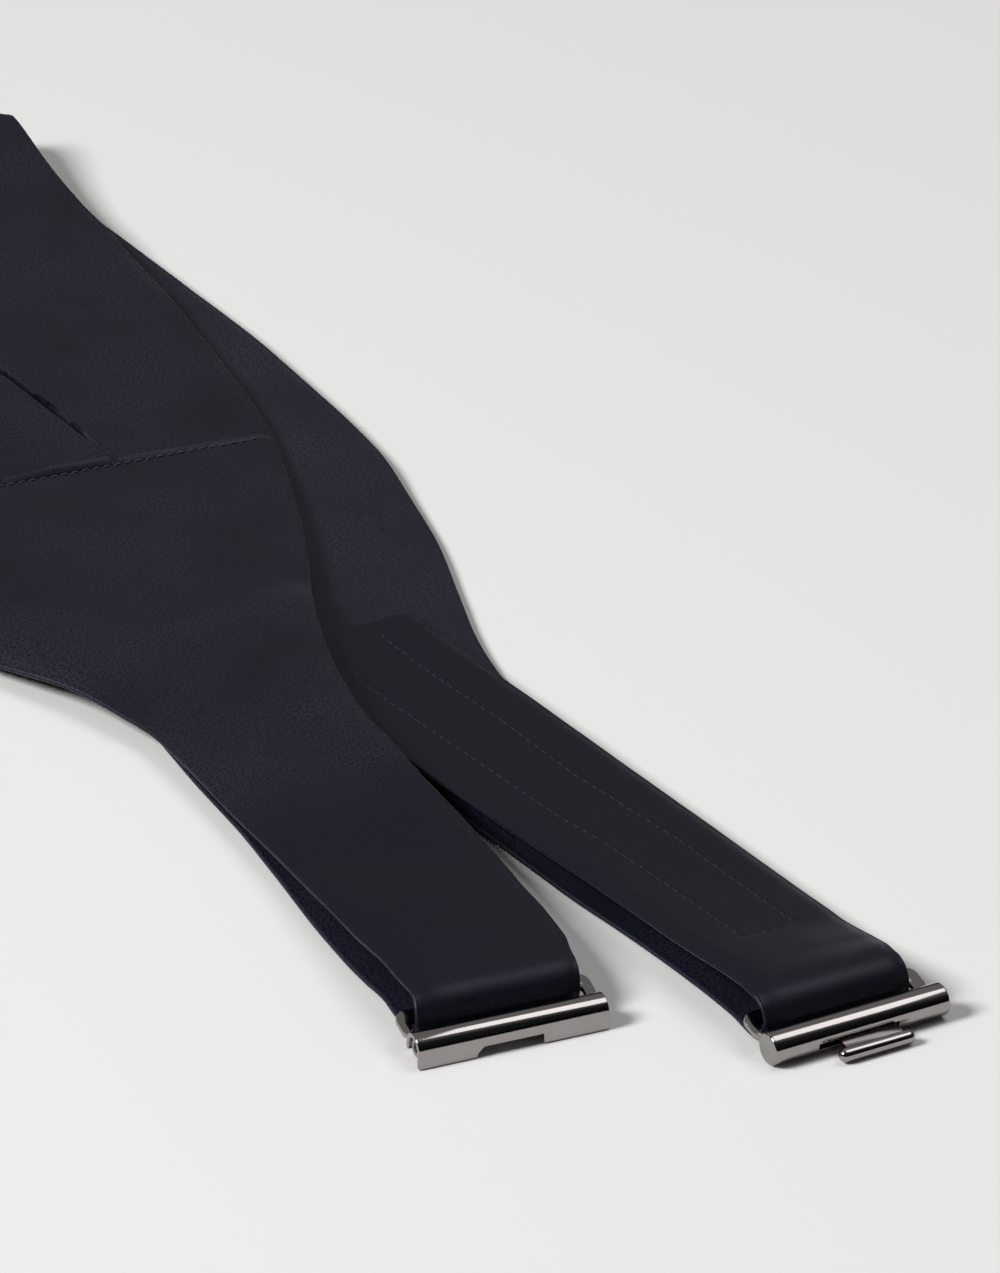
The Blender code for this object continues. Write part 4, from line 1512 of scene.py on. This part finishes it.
    def front(self) -> bpy.types.Object:
        """The pleated front, from seam to seam over the fold."""
        drape = self.drape
        start = -drape.seam(drape.hook) + CLOTH.seam_gap / 4
        stop = drape.seam(drape.socket) - CLOTH.seam_gap / 4
        places = [start, start + 0.0056, -0.020, 0.020, stop - 0.0056, stop]
        t = np.append(self.stations(places, [10, 40, 66, 110, 16]), stop)
        share = self.seam_share(t, start) * self.seam_share(t, stop)
        share = share * rise_from(CLOTH.valley, np.minimum(t - start, stop - t) / CLOTH.valley_run)
        v, height, flat = self.front_profile(t)
        distance = self.from_edge(t, v)
        height = height * self.ply_share(distance) * share[:, None] + self.relief(t[:, None], v, distance)
        piece = self.back_up("satin_front", t, v, height, flat, 1.0, Finish.OUTER)
        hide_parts("front_pleated")
        return piece

    def sewing(self, leg: Leg) -> bpy.types.Object:
        """All stitches of one strap.

        Args:
            leg: The leg that the strap belongs to.

        Returns:
            The piece.
        """
        points, faces, caps = [], [], []
        count = 0
        for row in self.rows[leg.name]:
            more, quads, ends = row.threads(self.drape, CLOTH.half_ply)
            points.append(more)
            faces.append(quads + count)
            caps += [[corner + count for corner in cap] for cap in ends]
            count += len(more)
        piece = self.shop.mesh(f"stitches_{leg.name}", np.concatenate(points), np.concatenate(faces), caps)
        return self.shop.finish(piece, Finish.THREAD, 60.0)

    def flat_area(self, leg: Leg) -> tuple[float, float]:
        """Length and area of a side piece as it was cut.

        Args:
            leg: The leg that it belongs to.

        Returns:
            Length in metres, and area in square metres.
        """
        t = leg.side * np.linspace(self.drape.seam(leg), self.drape.strap_end(leg), 2000)
        widths = self.drape.edge(t, True) + self.drape.edge(t, False)
        length = abs(float(t[-1] - t[0]))
        return length, float(widths.mean()) * length

    def sew(self) -> None:
        """Make all the cloth, and add up the length and area of the sheets as they were cut."""
        self.mark_rows()
        front, lining = self.front(), self.lining()
        width = 2 * CLOTH.band_half
        front_length = sum(self.drape.seam(leg) for leg in self.drape.legs)
        length, area = front_length, width * front_length
        for leg in self.drape.legs:
            piece, stitches = self.side_piece(leg), self.sewing(leg)
            cut_length, cut_area = self.flat_area(leg)
            length, area = length + cut_length, area + cut_area


@dataclass
class Smith:
    """Makes the metal clasp, in a frame with x across the strap, y towards the cloth and z up."""

    shop: Workshop
    drape: Drape
    sides: int = 72

    def arc(self, y: float, z: float, radius: float, start: float = 0.0, stop: float = 360.0) -> Array:
        """Points (y, z) of an arc, counted in degrees from +y towards +z.

        Args:
            y: Centre's y.
            z: Centre's z.
            radius: Radius.
            start: First angle.
            stop: Last angle, left out of a whole circle.

        Returns:
            The points.
        """
        whole = abs(stop - start) >= 360
        count = max(3, round(abs(stop - start) / 360 * self.sides) + (0 if whole else 1))
        angle = np.radians(np.linspace(start, stop, count, endpoint=not whole))
        return np.stack([y + radius * np.cos(angle), z + radius * np.sin(angle)], axis=-1)

    @staticmethod
    def prism(outline: Array, left: float, right: float) -> Array:
        """Rings of a body with a (y, z) outline, from x = left to x = right."""
        return np.stack([np.insert(outline, 0, x, axis=1) for x in (left, right)])

    @staticmethod
    def rounded(centre: float, half: float, front: float, rear: float, corner: float, grow: float) -> Array:
        """Outline of a rectangle with round corners, grown by a margin.

        Args:
            centre: Middle in x.
            half: Half width in x.
            front: Lowest y.
            rear: Highest y.
            corner: Corner radius.
            grow: Margin.

        Returns:
            Points (x, y).
        """
        points = []
        for sx, sy, start in ((1, 1, 0), (-1, 1, 90), (-1, -1, 180), (1, -1, 270)):
            middle_x = centre + sx * (half - corner)
            middle_y = rear - corner if sy > 0 else front + corner
            for angle in np.radians(np.linspace(start, start + 90, 9)):
                reach = corner + grow
                points.append((middle_x + reach * math.cos(angle), middle_y + reach * math.sin(angle)))
        return np.array(points)

    def lathe(self, profile: Array, y: float, z: float) -> Array:
        """Rings of a body round an axis along x.

        Args:
            profile: Points (x, radius).
            y: The axis's y.
            z: The axis's z.

        Returns:
            The rings.
        """
        return np.stack([np.insert(self.arc(y, z, max(radius, 1e-6)), 0, x, axis=1) for x, radius in profile])

    def frame_rings(self, pivot_z: float, place: tuple[float, float], window: tuple[float, float]) -> Array:
        """Rings of the tilted frame: each is a rounded rectangle, and together they go round its bar.

        Args:
            pivot_z: Height of the bar that it grows from.
            place: Its middle and half width in x.
            window: Its window's middle and half width in x.

        Returns:
            The rings.
        """
        bevel, half = CLASP.frame_bevel, CLASP.frame_thickness / 2
        outer = (*place, CLASP.frame_front, CLASP.frame_rear, CLASP.frame_corner)
        window = (*window, CLASP.window_front, CLASP.window_rear, CLASP.window_corner)
        section = (
            (outer, -bevel, -half), (outer, -0.3 * bevel, -half + 0.3 * bevel), (outer, 0.0, -half + bevel),
            (outer, 0.0, half - bevel), (outer, -0.3 * bevel, half - 0.3 * bevel), (outer, -bevel, half),
            (window, bevel, half), (window, 0.3 * bevel, half - 0.3 * bevel), (window, 0.0, half - bevel),
            (window, 0.0, -half + bevel), (window, 0.3 * bevel, -half + 0.3 * bevel), (window, bevel, -half),
        )
        tilt = math.radians(CLASP.frame_tilt)
        rings = []
        for shape, grow, lift in section:
            flat = self.rounded(*shape, grow)
            y = flat[:, 1] * math.cos(tilt) - lift * math.sin(tilt)
            z = flat[:, 1] * math.sin(tilt) + lift * math.cos(tilt) + pivot_z
            rings.append(np.stack([flat[:, 0], y, z], axis=-1))
        return np.stack(rings)

    def carve(
        self, name: str, rings: Array, tools: list[tuple[Array, str]], bevel: float, leg: Leg,
        closed: bool = False,
    ) -> bpy.types.Object:
        """Make a metal piece: shape it with tools, break its edges, and put it at its clasp.

        Args:
            name: The piece's name.
            rings: Rings of the raw body.
            tools: Rings of each tool, and DIFFERENCE or UNION.
            bevel: Width of the broken edges.
            leg: The leg whose clasp it is.
            closed: Whether the last ring joins the first one.

        Returns:
            The piece.
        """
        piece = self.shop.rings(name, rings, closed)
        helpers = []
        for number, (shape, operation) in enumerate(tools):
            tool = self.shop.rings(f"{name}_tool_{number}", shape)
            modifier = piece.modifiers.new(tool.name, "BOOLEAN")
            modifier.operation, modifier.object, modifier.solver = operation, tool, "EXACT"
            helpers.append(tool)
        if bevel:
            modifier = piece.modifiers.new("edges", "BEVEL")
            modifier.width, modifier.segments = bevel, 3
            modifier.limit_method, modifier.angle_limit = "ANGLE", math.radians(32)
        shaped = bpy.data.meshes.new_from_object(piece.evaluated_get(bpy.context.evaluated_depsgraph_get()))
        piece.modifiers.clear()
        piece.data = shaped
        for tool in helpers:
            bpy.data.objects.remove(tool)
        points = np.empty(len(shaped.vertices) * 3)
        shaped.vertices.foreach_get("co", points)
        points = points.reshape(-1, 3)
        x, reach = leg.plan(np.array([0.0]), np.array([0.0]))
        turn = -leg.side * float(leg.lean(np.array([0.0]))[0])
        cos, sin = math.cos(turn), math.sin(turn)
        at_y = self.drape.bend_y - abs(reach[0]) + self.drape.half_arc
        points[:, 0] += CLASP.hook_shift if leg is self.drape.hook else 0.0
        placed = np.stack([
            x[0] + points[:, 0] * cos - points[:, 1] * sin,
            at_y + points[:, 0] * sin + points[:, 1] * cos,
            points[:, 2],
        ], axis=-1)
        shaped.vertices.foreach_set("co", placed.ravel())
        return self.shop.finish(piece, Finish.METAL, 35.0)

    def socket(self) -> None:
        """The socket half: a sheet rolled over a hollow core, notched at its front lip, and its frame."""
        leg = self.drape.socket
        half, radius, wall = CLASP.socket_half, CLASP.socket_radius, CLASP.sheet
        z = radius + 0.00005
        inner = radius - wall
        outline = np.concatenate([
            [(-radius, 0.0), (-radius, z * 0.5)], self.arc(0, z, radius, 180, -28),
            self.arc(0, z, inner, -28, 180), [(-inner, z * 0.5), (-inner, 0.0)],
        ])
        notch = np.array([
            [(x, y, height) for x, height in (
                (CLASP.notch_foot, -0.001), (CLASP.notch_foot + 0.0005, 0.0008),
                (CLASP.notch_top, CLASP.notch_height),
                (CLASP.notch_right, CLASP.notch_height), (CLASP.notch_right, -0.001),
            )]
            for y in (-radius - 0.001, -inner + 0.0004)
        ])
        cover = self.carve(
            "clasp_socket_cover", self.prism(outline, -half, half), [(notch, "DIFFERENCE")], 0.00024, leg
        )
        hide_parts("socket")
        core, bore, edge = CLASP.core_radius, CLASP.bore_radius, 0.0003
        end = half - 0.0005
        right = [
            (end - edge, core), (end - 0.3 * edge, core - 0.3 * edge), (end, core - edge),
            (end, bore + edge), (end - 0.3 * edge, bore + 0.3 * edge), (end - edge, bore),
        ]
        profile = [(-x, r) for x, r in right[:1]] + right + [(-x, r) for x, r in reversed(right[1:])]
        self.carve("clasp_socket_core", self.lathe(profile, 0, z), [], 0, leg, closed=True)
        rings = self.frame_rings(z, CLASP.socket_frame, CLASP.socket_window)
        self.carve("clasp_socket_frame", rings, [], 0, leg, closed=True)

    def hook(self) -> None:
        """The hook half: a round bar with a slot, its frame, and the tongue with its cross rod."""
        leg = self.drape.hook
        half, radius = CLASP.hook_half, CLASP.hook_radius
        z = radius
        steps = np.radians(np.linspace(90, 0, 6))
        edge = 0.00045
        rounded = [(half - edge + edge * math.cos(a), radius - edge + edge * math.sin(a)) for a in steps]
        profile = np.array([(-x, r) for x, r in reversed(rounded)] + rounded)
        reach = CLASP.slot_depth - radius
        low, high = CLASP.tongue_z - CLASP.slot_height / 2, CLASP.tongue_z + CLASP.slot_height / 2
        slot = self.prism(
            np.array([(-radius - 0.001, low), (reach, low), (reach, high), (-radius - 0.001, high)]),
            CLASP.slot_left, CLASP.slot_right,
        )
        bar = self.carve("clasp_hook_bar", self.lathe(profile, 0, z), [(slot, "DIFFERENCE")], 0.00010, leg)
        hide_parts("hook_frame")
        rings = self.frame_rings(z, CLASP.hook_frame, CLASP.hook_window)
        self.carve("clasp_hook_frame", rings, [], 0, leg, closed=True)
        thick, back = CLASP.tongue_thickness / 2, reach - 0.0003
        plate = self.prism(
            np.array([
                (CLASP.rod_y, CLASP.rod_z - 0.0002), (CLASP.bend_y, CLASP.tongue_z - thick),
                (back, CLASP.tongue_z - thick), (back, CLASP.tongue_z + thick),
                (CLASP.bend_y, CLASP.tongue_z + thick), (CLASP.rod_y, CLASP.rod_z + 0.0007),
            ]),
            CLASP.tongue_left, CLASP.tongue_right,
        )
        steps, thick_rod = np.radians(np.linspace(4, 90, 9)), CLASP.rod_radius
        ball = [(thick_rod * math.cos(a), thick_rod * math.sin(a)) for a in steps]
        rod = [(CLASP.rod_left + thick_rod - x, r) for x, r in ball]
        rod += [(CLASP.rod_right - thick_rod + x, r) for x, r in reversed(ball)]
        shape = self.lathe(np.array(rod), CLASP.rod_y, CLASP.rod_z)
        tongue = self.carve("clasp_hook_tongue", plate, [(shape, "UNION")], 0.00012, leg)
        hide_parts("hook_tongue")


@dataclass(frozen=True)
class Studio:
    """Camera, floor, lights and surroundings, in metres and linear light."""

    target: Triple = (0.04962, -0.04223, 0.0)
    eye: Triple = (-0.68914, -1.47368, 0.80316)
    lens: float = 249.4
    floor_colour: Triple = (0.80, 0.80, 0.785)
    floor_half: float = 6.0
    world_slope: Triple = (0.38, 0.81, 1.0)
    world_ramp: tuple[float, float, float, float] = (0.25, 1.05, 0.02, 0.29)
    world_lift: tuple[float, float, float, float] = (0.12, 0.52, 0.10, 1.0)
    world_colour: Triple = (1.0, 0.98, 1.0)

    def aim(self, thing: bpy.types.Object, at: Triple) -> None:
        """Turn an object's -Z axis towards a point.

        Args:
            thing: A camera or lamp.
            at: The point.
        """
        way = Vector(at) - thing.location
        thing.rotation_euler = way.to_track_quat("-Z", "Y").to_euler()

    def camera(self) -> None:
        """Put the camera where the photograph was taken from."""
        data = bpy.data.cameras.new("camera")
        data.lens, data.sensor_fit, data.sensor_height = self.lens, "VERTICAL", 36.0
        data.clip_start, data.clip_end = 0.05, 60.0
        camera = add_object("camera", data)
        camera.location = self.eye
        self.aim(camera, self.target)
        bpy.context.scene.camera = camera

    def floor(self) -> None:
        """A plain pale floor, a hair below the cloth."""
        half = self.floor_half
        data = bpy.data.meshes.new("floor")
        corners = [(-half, -half, 0), (half, -half, 0), (half, half, 0), (-half, half, 0)]
        data.from_pydata(corners, [], [(0, 1, 2, 3)])
        floor = add_object("floor", data)
        floor.location.z = -0.0002
        material, maker = new_material("floor_paper")
        paper = {"Base Color": self.floor_colour, "Roughness": 0.85, "Specular IOR Level": 0.15}
        maker.fill(maker.shader, paper)
        data.materials.append(material)

    def lamp(self, name: str, power: float, size: float, where: Triple) -> None:
        """A square soft box aimed at the object.

        Args:
            name: The lamp's name.
            power: Its power in watts.
            size: Its side in metres.
            where: Its place.
        """
        data = bpy.data.lights.new(name, "AREA")
        data.energy, data.size = power, size
        lamp = add_object(name, data)
        lamp.location = where
        self.aim(lamp, (0.0, 0.0, 0.0))

    def world(self) -> None:
        """Surroundings that are light overhead and behind the object, and dark low down on the camera's side.

        The strength follows how far a direction points along world_slope, and again its height alone.
        """
        world = bpy.data.worlds.new("studio")
        world.use_nodes = True
        maker = NodeMaker(world.node_tree)
        way = maker.add("TexCoord").outputs["Generated"]
        away = maker.add("VectorMath", operation="DOT_PRODUCT")
        away.inputs[1].default_value = self.world_slope
        maker.join(way, away.inputs[0])
        parts = maker.add("SeparateXYZ")
        maker.join(way, parts.inputs["Vector"])
        product = maker.add("Math", operation="MULTIPLY")
        maker.join(maker.ramp(away.outputs["Value"], self.world_ramp, "SMOOTHSTEP"), product.inputs[0])
        maker.join(maker.ramp(parts.outputs["Z"], self.world_lift), product.inputs[1])
        background = world.node_tree.nodes["Background"]
        maker.join(product.outputs["Value"], background.inputs["Strength"])
        maker.fill(background, {"Color": self.world_colour})
        bpy.context.scene.world = world

    def set_up(self) -> None:
        """Make everything."""
        self.camera()
        self.floor()
        self.lamp("softbox_left", 108.0, 1.0, (-2.42, -0.10, 2.08))
        self.lamp("softbox_above", 12.0, 1.3, (0.98, -0.30, 2.10))
        self.world()
        bpy.context.scene.view_settings.view_transform = "Standard"


def main() -> None:
    """Make the model and its studio."""
    logging.basicConfig(level=logging.INFO)
    shop = Workshop()
    drape = Drape()
    Tailor(shop, drape).sew()
    smith = Smith(shop, drape)
    smith.socket()
    smith.hook()
    Studio().set_up()
    bpy.context.view_layer.update()


if __name__ == "__main__":
    main()
